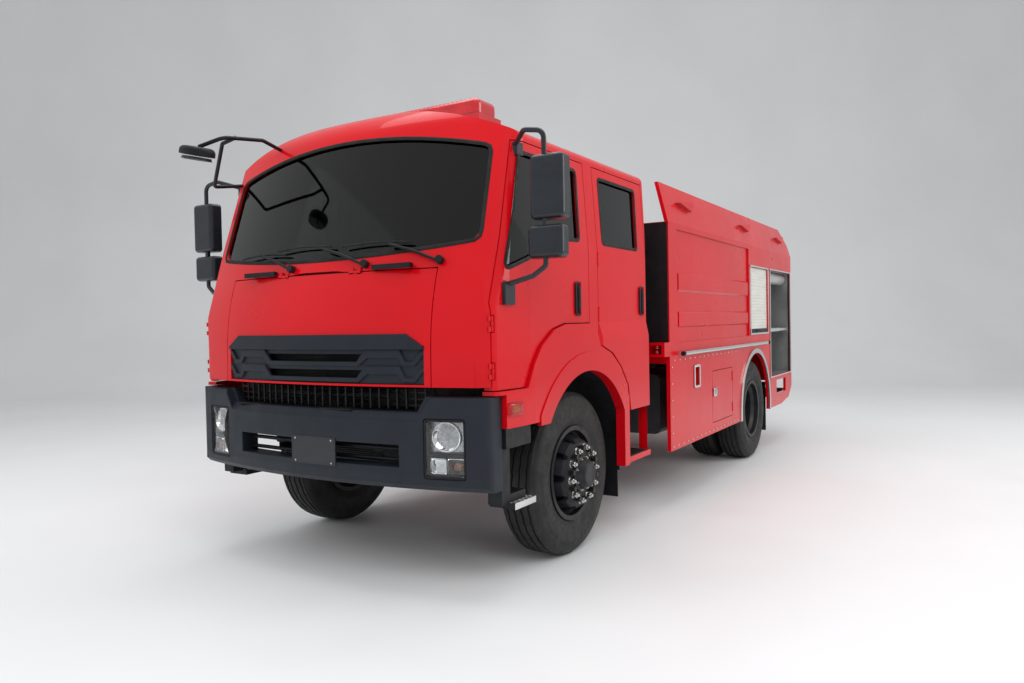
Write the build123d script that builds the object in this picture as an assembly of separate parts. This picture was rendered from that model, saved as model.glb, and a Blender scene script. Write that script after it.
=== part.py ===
"""Airport fire truck: a crew cab and a locker body on a two-axle chassis, in millimetres.

Every piece is drawn with Y = 0 on the front axle's centre line, the front towards -Y,
+X to the vehicle's left and Z = 0 on the ground. At the end the whole truck is moved
along Y, so that the origin lies under the middle of its box.
"""
from build123d import *
import functools
import math
import os

# The whole truck
LENGTH = 7010
FRONT_OVERHANG = 1240
MIRROR_REACH = 1490
WHEELBASE = 3980
REAR_END = LENGTH - FRONT_OVERHANG
PLAY = 0.3
SHUT_GAP = 6

# Tyres and wheels
TYRE_RADIUS = 522
TYRE_WIDTH = 290
TYRE_SHOULDER = 45
RIM_RADIUS = 286
RIM_WALL = 14
RIM_WIDTH = 230
FRONT_WHEEL_X = 955
TWIN_OUTER_X = 1075
TWIN_SPACING = 315
DISC_WALL = 16
STUD_COUNT = 10
STUD_CIRCLE_RADIUS = 167.5
NUT_RADIUS = 18
NUT_HEIGHT = 34
HAND_HOLE_COUNT = 10
HAND_HOLE_RADIUS = 24
HUB_RADIUS = 110

# Steering
KINGPIN_X = 850
KINGPIN_RADIUS = 22
SPINDLE_RADIUS = 42
BEARING_PLAY = 0.05
DRUM_RADIUS = 190
SPINDLE_END = 1110
TRACK_ARM = 150
TRACK_PIN_RADIUS = 11
FRONT_DISC_FACE = 180
FRONT_DISC_ROOT = 45
STUD_TURN = 6.4
REAR_HUB_OUT = 150

# Chassis frame
RAIL_OUTER_X = 430
RAIL_HEIGHT = 250
RAIL_FLANGE = 75
RAIL_WALL = 9
RAIL_TOP = 980
RAIL_FRONT = -1080
CROSS_MEMBERS = (-1020, 700, 1500, 2700, 3500, 4600, 5650)
BEAM_TOP = 472
TOW_HOLE_RADIUS = 20
TOW_EAR = 25
BEAM_HEIGHT = 90
BEAM_DEPTH = 80
AXLE_TUBE_RADIUS = 62
GEAR_CASE_RADIUS = 190
GEARBOX_END = 1150
SPRING_X = RAIL_OUTER_X - RAIL_FLANGE / 2
SPRING_WIDTH = 72
SPRING_EYE = 0.55
FRONT_SPRING = (0, BEAM_TOP + PLAY, 655, 640, 50)
REAR_SPRING = (WHEELBASE, TYRE_RADIUS + AXLE_TUBE_RADIUS + PLAY, 670, 700, 60)

# Cab
CAB_HALF_WIDTH = 1178
CAB_WALL = 40
CAB_SILL = 480
FENDER_BOTTOM = 930
CAB_FLOOR = 1200
CAB_FLOOR_WALL = 40
CAB_ROOF = 2800
CAB_REAR = 1090
BELT = 1950
ROOF_EDGE_HALF_WIDTH = 1100
ROOF_EDGE_HEIGHT = 2575
NOSE_Y = -1228
NOSE_SWEEP_RADIUS = 4400
SCREEN_KNEE_HEIGHT = 1558
SCREEN_KNEE_Y = -1215
SCREEN_LEAN = 0.31
BROW_RADIUS = 250
CORNER_START = -480
CORNER_LEAD = 5
CORNER_TURN_IN = 75
REAR_CORNER_RADIUS = 90
NOSE_CORNER_RADIUS = 120
SIDE_LEAN = 1 / 15

# Doors of the cab
FRONT_DOOR_FRONT = -1030
DOOR_LEAN_START = 1600
FRONT_DOOR_REAR = 60
REAR_DOOR_FRONT = 200
REAR_DOOR_REAR = 1030
DOOR_TOP = 2500
FRONT_DOOR_BOTTOM = 1138
REAR_DOOR_BOTTOM = 860
BLISTER_TOP = 1486
GLASS_WALL = 6
GLASS_DEPTH = 14
HINGE_RADIUS = 8
HINGE_SET_BACK = 4
HINGE_PIN_RADIUS = 4
HINGE_KNUCKLE = 28
FRONT_HINGES = (1240, 1490)
REAR_HINGES = (1540, 1900)
SKIRT_HINGES = (640, 940)
DOOR_INNER_X = 1062
STEP_RECESS = (670, 1050)
STEP_BOTTOM = 520
FIREWALL_Y = -1060
FIREWALL_PLAY = 8

# Front wheel arch
ARCH_RADIUS = 640
ARCH_RISE = 20
ARCH_LEG = 548
LINER_LEG = 592
FLARE_WIDTH = 118
FLARE_OUT = 27
BLISTER_OUT = 20

# Front flap, grille and bumper
FLAP_HALF_WIDTH = 818
FLAP_BOTTOM = 1156
FLAP_TOP = 1796
FLAP_HINGES = (-290, 290)
GRILLE_HALF_WIDTH = 780
GRILLE_TOP = 1372
GRILLE_BOTTOM = 1168
GRILLE_BARS = (1178, 1268)
TRIM_TOP = 1444
TRIM_TOP_HALF_WIDTH = 673
BUMPER_HALF_WIDTH = 1148
BUMPER_FRONT = -1240
BUMPER_SWEEP_RADIUS = 4420
BUMPER_WALL = 120
BUMPER_CHEEK_END = -960
BUMPER_CORNER_RADIUS = 70
BUMPER_CREASE = 978
BUMPER_BOTTOM = 600
BUMPER_TOP = 1020
BUMPER_HORN_TOP = 1105
BUMPER_HORN_X = 720
LAMP_IN = 780
LAMP_OUT = 1022
LAMP_BOTTOM = 668
LAMP_TOP = 992
LAMP_DEPTH = 85
SIDE_LAMP = (-945, -815)
BAND_SWING = 14
SLOT_HALF_WIDTH = 632
SLOT_BOTTOM = 722
SLOT_TOP = 844

# Body
BODY_HALF_WIDTH = 1245
BODY_FRONT = 1350
BODY_WALL = 40
BODY_FLOOR = 1150
SHOULDER = 2260
WING_TOP = 2575
WING_TOP_X = 1165
WING_WALL = 30
TANK_BAY_END = 3700
FRONT_LOCKER = (3790, 4545)
FRONT_LOCKER_SILL = 1330
LOCKER_HEAD = 2040
REAR_LOCKER = (4650, 5700)
REAR_LOCKER_SILL = 820
LOCKER_DEPTH = 700
SHUTTER_ROLL = 70
PUMP_BAY_HALF_WIDTH = 480
SHELF_HEIGHT = 1366
SKIRT_BOTTOM = 460
SKIRT_WALL = 30
REAR_ARCH_RADIUS = 580
TRIM_WIDTH = 48
SKIRT_DOOR = (2440, 3080)
SKIRT_DOOR_BOTTOM = 560
SKIRT_DOOR_TOP = 1020
TAIL_BOTTOM = 640
RAIL_BAR_HEIGHT = 1222
PANEL = (1540, 3740)
PANEL_BOTTOM = 1310
PANEL_TOP = 2215
PANEL_DEPTH = 16
PANEL_SWAGES = ((1735, 1860), (1445, 1550))
MARKER_PLACES = (1850, 3700, 5250)
VALVE_PLACE = (4980, 1560)
OUTLET_RADIUS = 32
WIPER_PIVOTS = (-218, 359, 833)


def box(x0, x1, y0, y1, z0, z1):
    """A block between two opposite corners."""
    middle = Pos((x0 + x1) / 2, (y0 + y1) / 2, (z0 + z1) / 2)
    return middle * Box(x1 - x0, y1 - y0, z1 - z0)


def outline(points, radius=0):
    """A flat closed outline, with all its corners rounded by one radius."""
    face = make_face(Polyline(*points, close=True))
    return fillet(face.vertices(), radius) if radius else face


def round_corner(face, point, radius):
    """The same face with the corner nearest to a point rounded."""
    corner = face.vertices().sort_by_distance((*point, 0))[0]
    return fillet(corner, radius)


def side_slab(face, x0, x1):
    """An outline in Y and Z, drawn out from x0 to x1."""
    return extrude(Plane.YZ.offset(x0) * face, amount=x1 - x0)


def front_slab(face, y0, y1):
    """An outline in X and Z, drawn out from y0 to y1."""
    return extrude(Plane.XZ.offset(-y1) * face, amount=y1 - y0)


def plan_slab(face, z0, z1):
    """An outline in X and Y, drawn out from z0 to z1."""
    return extrude(Plane.XY.offset(z0) * face, amount=z1 - z0)


def along_x(radius, x0, x1, y, z):
    """A round bar along X."""
    return extrude(Plane.YZ.offset(x0) * Pos(y, z) * Circle(radius), amount=x1 - x0)


def along_y(radius, y0, y1, x, z):
    """A round bar along Y."""
    return extrude(Plane.XZ.offset(-y1) * Pos(x, z) * Circle(radius), amount=y1 - y0)


def along_z(radius, z0, z1, x, y):
    """A round bar along Z."""
    return extrude(Plane.XY.offset(z0) * Pos(x, y) * Circle(radius), amount=z1 - z0)


def tube(points, radius, bend):
    """A round bar along straight runs joined by arcs."""
    path = FilletPolyline(*points, radius=bend)
    return sweep((path ^ 0) * Circle(radius), path=path)


def right_hand(shape):
    """The mirror image on the vehicle's right."""
    return mirror(shape, about=Plane.YZ)


def pair(shape):
    """The shape and its mirror image."""
    return (shape, right_hand(shape))


def both_sides(shape):
    """The shape and its mirror image, as two separate solids."""
    return Compound(children=[*shape.solids(), *right_hand(shape).solids()])


def on_nose(height, across, inset=0):
    """Y of the cab's front surface at a distance from the centre line."""
    axis_y = NOSE_Y + NOSE_SWEEP_RADIUS
    lean = max(0, height - SCREEN_KNEE_HEIGHT) * SCREEN_LEAN
    reach = axis_y - SCREEN_KNEE_Y - lean - inset
    return axis_y - math.sqrt(reach**2 - across**2)


def cab_front_outline(inset):
    """Half section of the cab on its centre line, up to the axis of its front's sweep."""
    axis_y = NOSE_Y + NOSE_SWEEP_RADIUS
    roof = CAB_ROOF - inset
    lean_y = SCREEN_KNEE_Y + SCREEN_LEAN * (CAB_ROOF - SCREEN_KNEE_HEIGHT)
    slope = math.hypot(1, SCREEN_LEAN)
    points = [
        (axis_y, CAB_SILL - 100),
        (NOSE_Y + inset, CAB_SILL - 100),
        (SCREEN_KNEE_Y + inset, SCREEN_KNEE_HEIGHT),
        (lean_y - SCREEN_LEAN * inset + slope * inset, roof),
        (axis_y, roof),
    ]
    face = outline(points)
    face = round_corner(face, points[2], 1500)
    return round_corner(face, points[3], BROW_RADIUS - inset)


def cab_cross_outline(inset):
    """Half of the cab seen from the front: upright to the belt, leaning in above, roof crowned."""
    side = CAB_HALF_WIDTH - inset
    edge = (ROOF_EDGE_HALF_WIDTH - inset, ROOF_EDGE_HEIGHT - inset)
    shoulder = (side - 40, ROOF_EDGE_HEIGHT - 25 - inset)
    top = (0, CAB_ROOF - inset)
    crown = 2 * math.atan2(top[1] - edge[1], edge[0])
    crown_radius = edge[0] / math.sin(crown)
    middle = (
        crown_radius * math.sin(crown / 2),
        top[1] - crown_radius * (1 - math.cos(crown / 2)),
    )
    sides = Polyline(top, (0, CAB_SILL), (side, CAB_SILL), (side, BELT), shoulder, edge)
    face = make_face(sides + ThreePointArc(edge, middle, top))
    face = round_corner(face, shoulder, 60)
    return round_corner(face, (side, BELT), 500)


def cab_plan_outline(inset):
    """Half of the cab seen from above: its front corner turns in on a wide arc."""
    side = CAB_HALF_WIDTH - inset + CORNER_LEAD
    turn = (side, CORNER_START)
    front = (side - CORNER_TURN_IN, NOSE_Y - 60)
    middle = (side - CORNER_TURN_IN / 4, (turn[1] + front[1]) / 2)
    rear = CAB_REAR - inset
    sides = Polyline(front, (0, front[1]), (0, rear), (side, rear), turn)
    face = make_face(sides + ThreePointArc(turn, middle, front))
    return round_corner(face, (side, rear), REAR_CORNER_RADIUS - inset)


def cab_side(y, height, inset=0):
    """X of the cab's left side: leaning in above the belt, and turning in at the front."""
    reach = max(0, CORNER_START - y) / (CORNER_START - NOSE_Y + 60)
    turned = CAB_HALF_WIDTH + CORNER_LEAD - CORNER_TURN_IN * reach**2
    return min(CAB_HALF_WIDTH - max(0, height - BELT) * SIDE_LEAN, turned) - inset


def nose_corner_face(height, inset):
    """The sliver outside the rounded front corner of the cab, seen from above at a height."""
    x = cab_side(NOSE_Y, height, inset)
    for _ in range(4):
        y = on_nose(height, x, inset)
        x = cab_side(y, height, inset)
    corner = Vector(x, y)
    back = (Vector(cab_side(y + 60, height, inset), y + 60) - corner).normalized()
    across = (Vector(x - 60, on_nose(height, x - 60, inset)) - corner).normalized()
    half = math.radians(back.get_angle(across)) / 2
    reach = (NOSE_CORNER_RADIUS - inset) / math.tan(half)
    middle = corner + (back + across).normalized() * reach * (1 / math.cos(half) - math.tan(half))
    outward = -(back + across).normalized()
    start = corner + back * reach + Vector(2, 0)
    end = corner + across * reach + Vector(0, -2)
    far = corner + outward * 120
    sides = Polyline(end, end + Vector(0, -90), far, start + Vector(90, 0), start)
    return Pos(0, 0, height) * make_face(sides + ThreePointArc(start, middle, end))


def nose_corner(inset):
    """What is cut from the cab's left front corner to round it from the sill to the roof."""
    heights = (CAB_SILL - 60, SCREEN_KNEE_HEIGHT, BELT, ROOF_EDGE_HEIGHT, CAB_ROOF + 60)
    return loft([nose_corner_face(height, inset) for height in heights], ruled=True)


@functools.cache
def cab_block(inset):
    """The cab's whole outer form, smaller by inset on every side."""
    axis = Axis((0, NOSE_Y + NOSE_SWEEP_RADIUS, 0), (0, 0, 1))
    swept = revolve(Plane.YZ * cab_front_outline(inset), axis=axis, revolution_arc=360)
    cross = front_slab(cab_cross_outline(inset), NOSE_Y - 100, CAB_REAR + 100)
    plan = plan_slab(cab_plan_outline(inset), CAB_SILL - 50, CAB_ROOF + 50)
    half = ((cross & plan) & swept) - nose_corner(inset)
    return half + right_hand(half)


CAB_OUTER = cab_block(0)
CAB_INNER = cab_block(CAB_WALL)
CAB_SKIN = CAB_OUTER - CAB_INNER


def nose_plane(height, across):
    """A plane a running gap clear of the cab's front, facing away from it."""
    lean = SCREEN_LEAN if height > SCREEN_KNEE_HEIGHT else 0
    outward = Vector(across / NOSE_SWEEP_RADIUS, -1, lean).normalized()
    point = Vector(across, on_nose(height, across), height) + outward * PLAY
    return Plane(origin=point, z_dir=outward)


def arch_outline(radius, leg, bottom):
    """Side outline of a wheel arch: a round head over two upright legs, about an axle."""
    head = Pos(0, TYRE_RADIUS + ARCH_RISE) * Circle(radius)
    legs = Pos(0, bottom + 600) * Rectangle(2 * leg, 1200)
    low = Pos(0, (bottom + TYRE_RADIUS) / 2) * Rectangle(2 * leg, TYRE_RADIUS - bottom)
    return (head & legs) + low


def front_door_outline(margin=0):
    """Side outline of a front door, its front edge leaning back with the windscreen."""
    points = [
        (FRONT_DOOR_FRONT, FRONT_DOOR_BOTTOM),
        (FRONT_DOOR_FRONT, DOOR_LEAN_START),
        (FRONT_DOOR_FRONT + SCREEN_LEAN * (DOOR_TOP - DOOR_LEAN_START), DOOR_TOP),
        (FRONT_DOOR_REAR, DOOR_TOP),
        (FRONT_DOOR_REAR, BLISTER_TOP),
        (-290, BLISTER_TOP),
        (-440, 1455),
        (-600, 1362),
        (-690, 1262),
        (-755, FRONT_DOOR_BOTTOM),
    ]
    face = make_face(Polyline(*points, close=True))
    return offset(face, amount=margin, kind=Kind.INTERSECTION) if margin else face


def rear_door_outline(margin=0):
    """Side outline of a rear door, grown by a margin all round."""
    points = [
        (REAR_DOOR_FRONT, DOOR_TOP),
        (REAR_DOOR_REAR, DOOR_TOP),
        (REAR_DOOR_REAR, REAR_DOOR_BOTTOM),
        (680, REAR_DOOR_BOTTOM),
        (640, 1040),
        (520, 1180),
        (380, 1280),
        (REAR_DOOR_FRONT, 1340),
    ]
    face = make_face(Polyline(*points, close=True))
    return offset(face, amount=margin, kind=Kind.INTERSECTION) if margin else face


def front_window_outline():
    """Side outline of a front door's window, with its dropped front corner."""
    points = [
        (-930, 1775), (-728, 2440), (-42, 2440), (-58, 2000), (-296, 1991), (-652, 1866),
    ]
    return outline(points, 24)


def rear_window_outline():
    """Side outline of a rear door's window."""
    return outline([(285, 2005), (283, 2440), (905, 2440), (880, 2005)], 30)


def screen_outline():
    """Front outline of the windscreen."""
    sides = Polyline((-1040, 1945), (-1018, 2480))
    top = ThreePointArc((-1018, 2480), (0, 2605), (1018, 2480))
    other = Line((1018, 2480), (1040, 1945))
    bottom = ThreePointArc((1040, 1945), (0, 1880), (-1040, 1945))
    face = make_face(sides + top + other + bottom)
    return fillet(face.vertices(), 90)


def pane(face_slab):
    """The window glass that fills a cut-out of the cab's wall, a little under its surface."""
    layer = cab_block(GLASS_DEPTH) - cab_block(GLASS_DEPTH + GLASS_WALL)
    return layer & face_slab


def knuckle(axis, low, high, radius=HINGE_RADIUS):
    """One barrel of a hinge with an upright pin."""
    return along_z(radius, low, high, *axis)


def door_axis(front_y):
    """Place of a cab door's hinge pin, on the skin at the door's front edge."""
    y = front_y + HINGE_SET_BACK
    across = Line((0, y, FRONT_HINGES[0]), (2 * CAB_HALF_WIDTH, y, FRONT_HINGES[0]))
    skin = max(vertex.X for vertex in (CAB_OUTER & across).vertices())
    return (skin - 1, y)


def fixed_hinge(axis, heights):
    """The outer barrels, pins and leaves of a door's hinges, which stay on the cab."""
    pieces = []
    for height in heights:
        top = height + 1.5 * HINGE_KNUCKLE
        bottom = height - 1.5 * HINGE_KNUCKLE
        for low in (bottom, top - HINGE_KNUCKLE + 1):
            high = low + HINGE_KNUCKLE - 1
            leaf = box(axis[0] - HINGE_RADIUS, axis[0], axis[1] - 26, axis[1], low, high)
            pieces.append(knuckle(axis, low, high) + leaf)
        pieces.append(along_z(HINGE_PIN_RADIUS, bottom, top, *axis))
    return pieces


def door_hinge(axis, heights):
    """The middle barrels of a door's hinges, bored for their pins."""
    pieces = []
    for height in heights:
        low = height - HINGE_KNUCKLE / 2 + 1
        high = height + HINGE_KNUCKLE / 2 - 1
        leaf = box(axis[0] - HINGE_RADIUS, axis[0], axis[1], axis[1] + 30, low, high)
        pieces.append(knuckle(axis, low, high) + leaf)
    return pieces


def hinge_room(axis, heights):
    """The notch in a door round the barrels that stay on the cab."""
    room = []
    for height in heights:
        half = 1.5 * HINGE_KNUCKLE + 5
        reach = HINGE_RADIUS + 6
        low, high = height - half, height + half
        room.append(
            box(axis[0] - reach, axis[0] + 60, axis[1] - 30, axis[1] + reach, low, high))
    return room


def pin_bores(axis, heights):
    """The bores in a door's barrels."""
    radius = HINGE_PIN_RADIUS + BEARING_PLAY
    return [along_z(radius, h - HINGE_KNUCKLE, h + HINGE_KNUCKLE, *axis) for h in heights]


def door_handle(y, z=1635):
    """An upright pull handle in its dished plate, on the skin."""
    plate = box(CAB_HALF_WIDTH - 2, CAB_HALF_WIDTH + 6, y - 38, y + 38, z - 105, z + 105)
    dish = box(CAB_HALF_WIDTH - 1, CAB_HALF_WIDTH + 10, y - 24, y + 24, z - 88, z + 88)
    grip = box(CAB_HALF_WIDTH + 12, CAB_HALF_WIDTH + 26, y + 2, y + 20, z - 95, z + 95)
    feet = box(CAB_HALF_WIDTH - 2, CAB_HALF_WIDTH + 14, y + 2, y + 20, z - 98, z - 82)
    feet += box(CAB_HALF_WIDTH - 2, CAB_HALF_WIDTH + 14, y + 2, y + 20, z + 82, z + 98)
    return (plate - dish) + grip + feet


def cab_door(door_face, window_face, front_y, heights, handle_y):
    """A cab door with its window cut out, its hinge barrels and its handle."""
    axis = door_axis(front_y)
    door = CAB_SKIN & side_slab(door_face, DOOR_INNER_X, CAB_HALF_WIDTH + 100)
    door -= side_slab(window_face, 900, CAB_HALF_WIDTH + 100)
    for room in hinge_room(axis, heights):
        door -= room
    for barrel in door_hinge(axis, heights):
        door += barrel
    for bore in pin_bores(axis, heights):
        door -= bore
    return door + door_handle(handle_y)


def front_door():
    """The left front door."""
    outlines = (front_door_outline(), front_window_outline())
    return cab_door(*outlines, FRONT_DOOR_FRONT, FRONT_HINGES, -105)


def rear_door():
    """The left rear door."""
    outlines = (rear_door_outline(), rear_window_outline())
    return cab_door(*outlines, REAR_DOOR_FRONT, REAR_HINGES, 930)


def door_glass(window_face):
    """The glass of a door's window."""
    return pane(side_slab(offset(window_face, amount=-PLAY), 900, CAB_HALF_WIDTH + 100))


def cab_shell():
    """The cab's fixed panels: roof, pillars, nose corners, floor and back."""
    wide = 1400
    shell = CAB_SKIN - box(-wide, wide, -2000, 0, 0, FENDER_BOTTOM)
    shell -= box(-wide, wide, -2000, FRONT_DOOR_FRONT - SHUT_GAP, 0, FLAP_BOTTOM)
    shell -= box(-wide, wide, -2000, BUMPER_CHEEK_END + SHUT_GAP, 0, BUMPER_HORN_TOP + SHUT_GAP)
    shell -= box(-1100, 1100, CAB_REAR - CAB_WALL - 10, CAB_REAR + 10, 0, CAB_FLOOR)
    floor_top = CAB_FLOOR + CAB_FLOOR_WALL
    shell += CAB_OUTER & box(-wide, wide, NOSE_Y + 80, CAB_REAR, CAB_FLOOR, floor_top)
    shell -= side_slab(arch_outline(ARCH_RADIUS, ARCH_LEG, 300), -wide, wide)
    shell -= front_slab(screen_outline(), -2000, -500)
    flap_edge = FLAP_HALF_WIDTH + SHUT_GAP
    shell -= box(-flap_edge, flap_edge, -1500, -900, FLAP_BOTTOM - 10, FLAP_TOP + SHUT_GAP)
    swing_room = outline([
        (-220, FLAP_TOP), (220, FLAP_TOP), (220, FLAP_TOP + SHUT_GAP), (130, FLAP_TOP + 15),
        (-130, FLAP_TOP + 15), (-220, FLAP_TOP + SHUT_GAP),
    ])
    shell -= front_slab(swing_room, -1500, -900)
    firewall = box(-wide, wide, FIREWALL_Y, FIREWALL_Y + 30, CAB_FLOOR, FLAP_TOP + 80)
    shell += cab_block(CAB_WALL + FIREWALL_PLAY) & firewall
    for face in (front_door_outline(SHUT_GAP), rear_door_outline(SHUT_GAP)):
        hole = side_slab(face, DOOR_INNER_X - 3, wide)
        shell -= hole
        shell -= right_hand(hole)
    for front_y, heights in ((FRONT_DOOR_FRONT, FRONT_HINGES), (REAR_DOOR_FRONT, REAR_HINGES)):
        for piece in fixed_hinge(door_axis(front_y), heights):
            shell += piece
            shell += right_hand(piece)
    inner = CAB_HALF_WIDTH - 260
    recess = box(inner, wide, *STEP_RECESS, STEP_BOTTOM, REAR_DOOR_BOTTOM)
    step = box(inner, CAB_HALF_WIDTH, ARCH_LEG + 62, CAB_REAR - 5, CAB_SILL, STEP_BOTTOM)
    for room, shelf in zip(pair(recess), pair(step)):
        shell = (shell - room) + shelf
    for x in FLAP_HINGES:
        shell -= flap_hinge_room(x, FLAP_TOP + SHUT_GAP - 2, 1)
        for piece in flap_fixed_hinge(x):
            shell += piece
    return shell


def flap_axis():
    """Place in Y and Z of the front flap's hinge pins, on the skin in the seam above the flap."""
    height = FLAP_TOP + SHUT_GAP / 2
    return (on_nose(height, FLAP_HINGES[1]) - 2, height)


def flap_fixed_hinge(x):
    """The outer barrels, the pin and the leaves of a flap hinge, which stay on the cab."""
    y, z = flap_axis()
    pieces = [along_x(HINGE_PIN_RADIUS, x - 1.5 * HINGE_KNUCKLE, x + 1.5 * HINGE_KNUCKLE, y, z)]
    for low in (x - 1.5 * HINGE_KNUCKLE, x + HINGE_KNUCKLE / 2 + 1):
        high = low + HINGE_KNUCKLE - 1
        pieces.append(along_x(HINGE_RADIUS, low, high, y, z) + box(low, high, y, y + 26, z, z + 26))
    return pieces


def flap_moving_hinge(x):
    """The middle barrel of a flap hinge with its leaf."""
    y, z = flap_axis()
    low = x - HINGE_KNUCKLE / 2 + 1
    high = x + HINGE_KNUCKLE / 2 - 1
    return along_x(HINGE_RADIUS, low, high, y, z) + box(low, high, y, y + 26, z - 26, z)


def flap_hinge_room(x, edge, barrels):
    """The notch round a number of a flap hinge's barrels, in from the seam's edge."""
    y, z = flap_axis()
    half = barrels * HINGE_KNUCKLE / 2 + 4
    reach = HINGE_RADIUS + 5
    low, high = (edge, z + reach) if edge > z else (z - reach, edge)
    return box(x - half, x + half, y - 40, y + reach, low, high)


def front_flap():
    """The nose's service flap, hinged under the windscreen."""
    region = box(-FLAP_HALF_WIDTH, FLAP_HALF_WIDTH, -1500, -900, FLAP_BOTTOM, FLAP_TOP)
    mouth = box(-GRILLE_HALF_WIDTH, GRILLE_HALF_WIDTH, -1500, -900, GRILLE_BOTTOM, GRILLE_TOP)
    flap = (CAB_SKIN & region) - mouth
    for x in FLAP_HINGES:
        flap -= flap_hinge_room(x, FLAP_TOP + 2, 3)
        flap += flap_moving_hinge(x)
        ends = (x - HINGE_KNUCKLE, x + HINGE_KNUCKLE)
        flap -= along_x(HINGE_PIN_RADIUS + BEARING_PLAY, *ends, *flap_axis())
    return flap


def grille():
    """The grille in the flap's mouth with its stepped bars, and the trim strip above it."""
    edge = GRILLE_HALF_WIDTH - PLAY
    region = box(-edge, edge, -1500, -900, GRILLE_BOTTOM + PLAY, GRILLE_TOP - PLAY)
    plate = (cab_block(12) - cab_block(30)) & region
    relief = cab_block(0) - cab_block(20)
    for low in GRILLE_BARS:
        slot = outline([(-360, low + 22), (360, low + 22), (400, low + 66), (-400, low + 66)])
        plate -= front_slab(slot, -1500, -900)
        step = [
            (0, low), (360, low), (420, low + 45), (620, low + 45), (650, low + 4), (725, low + 4),
            (765, low + 50), (edge, low + 60), (edge, low + 84), (750, low + 76), (712, low + 28),
            (665, low + 28), (630, low + 90), (405, low + 90), (348, low + 24), (0, low + 24),
        ]
        bar = relief & front_slab(outline(step), -1500, -900)
        for half in pair(bar):
            plate += half
    trim = outline([
        (-GRILLE_HALF_WIDTH, GRILLE_TOP + 2), (GRILLE_HALF_WIDTH, GRILLE_TOP + 2),
        (TRIM_TOP_HALF_WIDTH, TRIM_TOP), (-TRIM_TOP_HALF_WIDTH, TRIM_TOP),
    ])
    plate += (cab_block(-12) - cab_block(0)) & front_slab(trim, -1500, -900)
    lip = box(-edge, edge, -1500, -900, GRILLE_TOP - 12, GRILLE_TOP + 6)
    outer = cab_block(-12)
    return plate + ((outer - cab_block(-PLAY)) & lip) + ((outer - cab_block(10)) & lip & region)


def bumper_plan():
    """The bumper seen from above, filled: its front arc, rounded corners and cheeks."""
    disc = Pos(0, BUMPER_FRONT + BUMPER_SWEEP_RADIUS) * Circle(BUMPER_SWEEP_RADIUS)
    middle = (BUMPER_FRONT + BUMPER_CHEEK_END) / 2
    depth = BUMPER_CHEEK_END - BUMPER_FRONT
    face = disc & (Pos(0, middle) * Rectangle(2 * BUMPER_HALF_WIDTH, depth))
    for x in (-BUMPER_HALF_WIDTH, BUMPER_HALF_WIDTH):
        face = round_corner(face, (x, BUMPER_FRONT), BUMPER_CORNER_RADIUS)
    return face


def bumper_sweep(points):
    """A section of distance behind the bumper's face and height, swept along its front arc."""
    axis_y = BUMPER_FRONT + BUMPER_SWEEP_RADIUS
    section = outline([(BUMPER_FRONT + behind, height) for behind, height in points])
    return revolve(Plane.YZ * section, axis=Axis((0, axis_y, 0), (0, 0, 1)), revolution_arc=360)


def front_bumper():
    """The moulded bumper with its raised ends, creased top, lamp pockets and slot."""
    wide = BUMPER_HALF_WIDTH
    beam = bumper_sweep([
        (45, BUMPER_BOTTOM), (10, BUMPER_BOTTOM + 30), (0, BUMPER_BOTTOM + 80),
        (0, BUMPER_HORN_TOP - 22), (8, BUMPER_HORN_TOP - 6), (24, BUMPER_HORN_TOP),
        (BUMPER_WALL, BUMPER_HORN_TOP), (BUMPER_WALL, BUMPER_BOTTOM),
    ])
    cheek = box(wide - 30, wide, BUMPER_FRONT, BUMPER_CHEEK_END, BUMPER_BOTTOM + 30, BUMPER_HORN_TOP)
    beam = (beam & box(-wide, wide, BUMPER_FRONT, 0, 0, 2000)) + cheek + right_hand(cheek)
    beam &= plan_slab(bumper_plan(), BUMPER_BOTTOM, BUMPER_HORN_TOP)
    top = outline([
        (-BUMPER_HORN_X, BUMPER_TOP),
        (BUMPER_HORN_X, BUMPER_TOP),
        (BUMPER_HORN_X + 60, BUMPER_HORN_TOP + 10),
        (-BUMPER_HORN_X - 60, BUMPER_HORN_TOP + 10),
    ])
    beam -= front_slab(top, -1500, -800)
    crease = bumper_sweep([
        (-20, BUMPER_CREASE), (0, BUMPER_CREASE), (40, BUMPER_TOP + 1), (40, 1200), (-20, 1200)])
    beam -= crease & front_slab(offset(top, amount=40, kind=Kind.INTERSECTION), -1500, -800)
    beam -= box(-SLOT_HALF_WIDTH, SLOT_HALF_WIDTH, -1500, -800, SLOT_BOTTOM, SLOT_TOP)
    for room in pair(lamp_room(0)):
        beam -= room
    return beam


def lamp_room(play):
    """The pocket of a headlamp in the bumper, smaller by a play all round."""
    face = [
        (LAMP_IN + play, LAMP_BOTTOM + play), (LAMP_OUT - play, LAMP_BOTTOM + play),
        (LAMP_OUT - play, LAMP_TOP - play), (LAMP_IN + play, LAMP_TOP - play),
    ]
    back = BUMPER_FRONT + LAMP_IN**2 / (2 * BUMPER_SWEEP_RADIUS) + LAMP_DEPTH
    return front_slab(outline(face, 18), -1500, back - play)


def headlamps():
    """The two headlamp units in their pockets, and the side lamps on the front fenders."""
    centre = BUMPER_FRONT + BUMPER_SWEEP_RADIUS + 4
    disc = plan_slab(Pos(0, centre) * Circle(BUMPER_SWEEP_RADIUS), 0, 2000)
    cover = cab_block(-BLISTER_OUT - 14) - cab_block(-BLISTER_OUT - PLAY)
    side_lamp = cover & box(900, 1400, *SIDE_LAMP, 992, 1068)
    front, side = both_sides(lamp_room(PLAY) & disc), both_sides(side_lamp)
    return Compound(children=[*front.solids(), *side.solids()])


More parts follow.
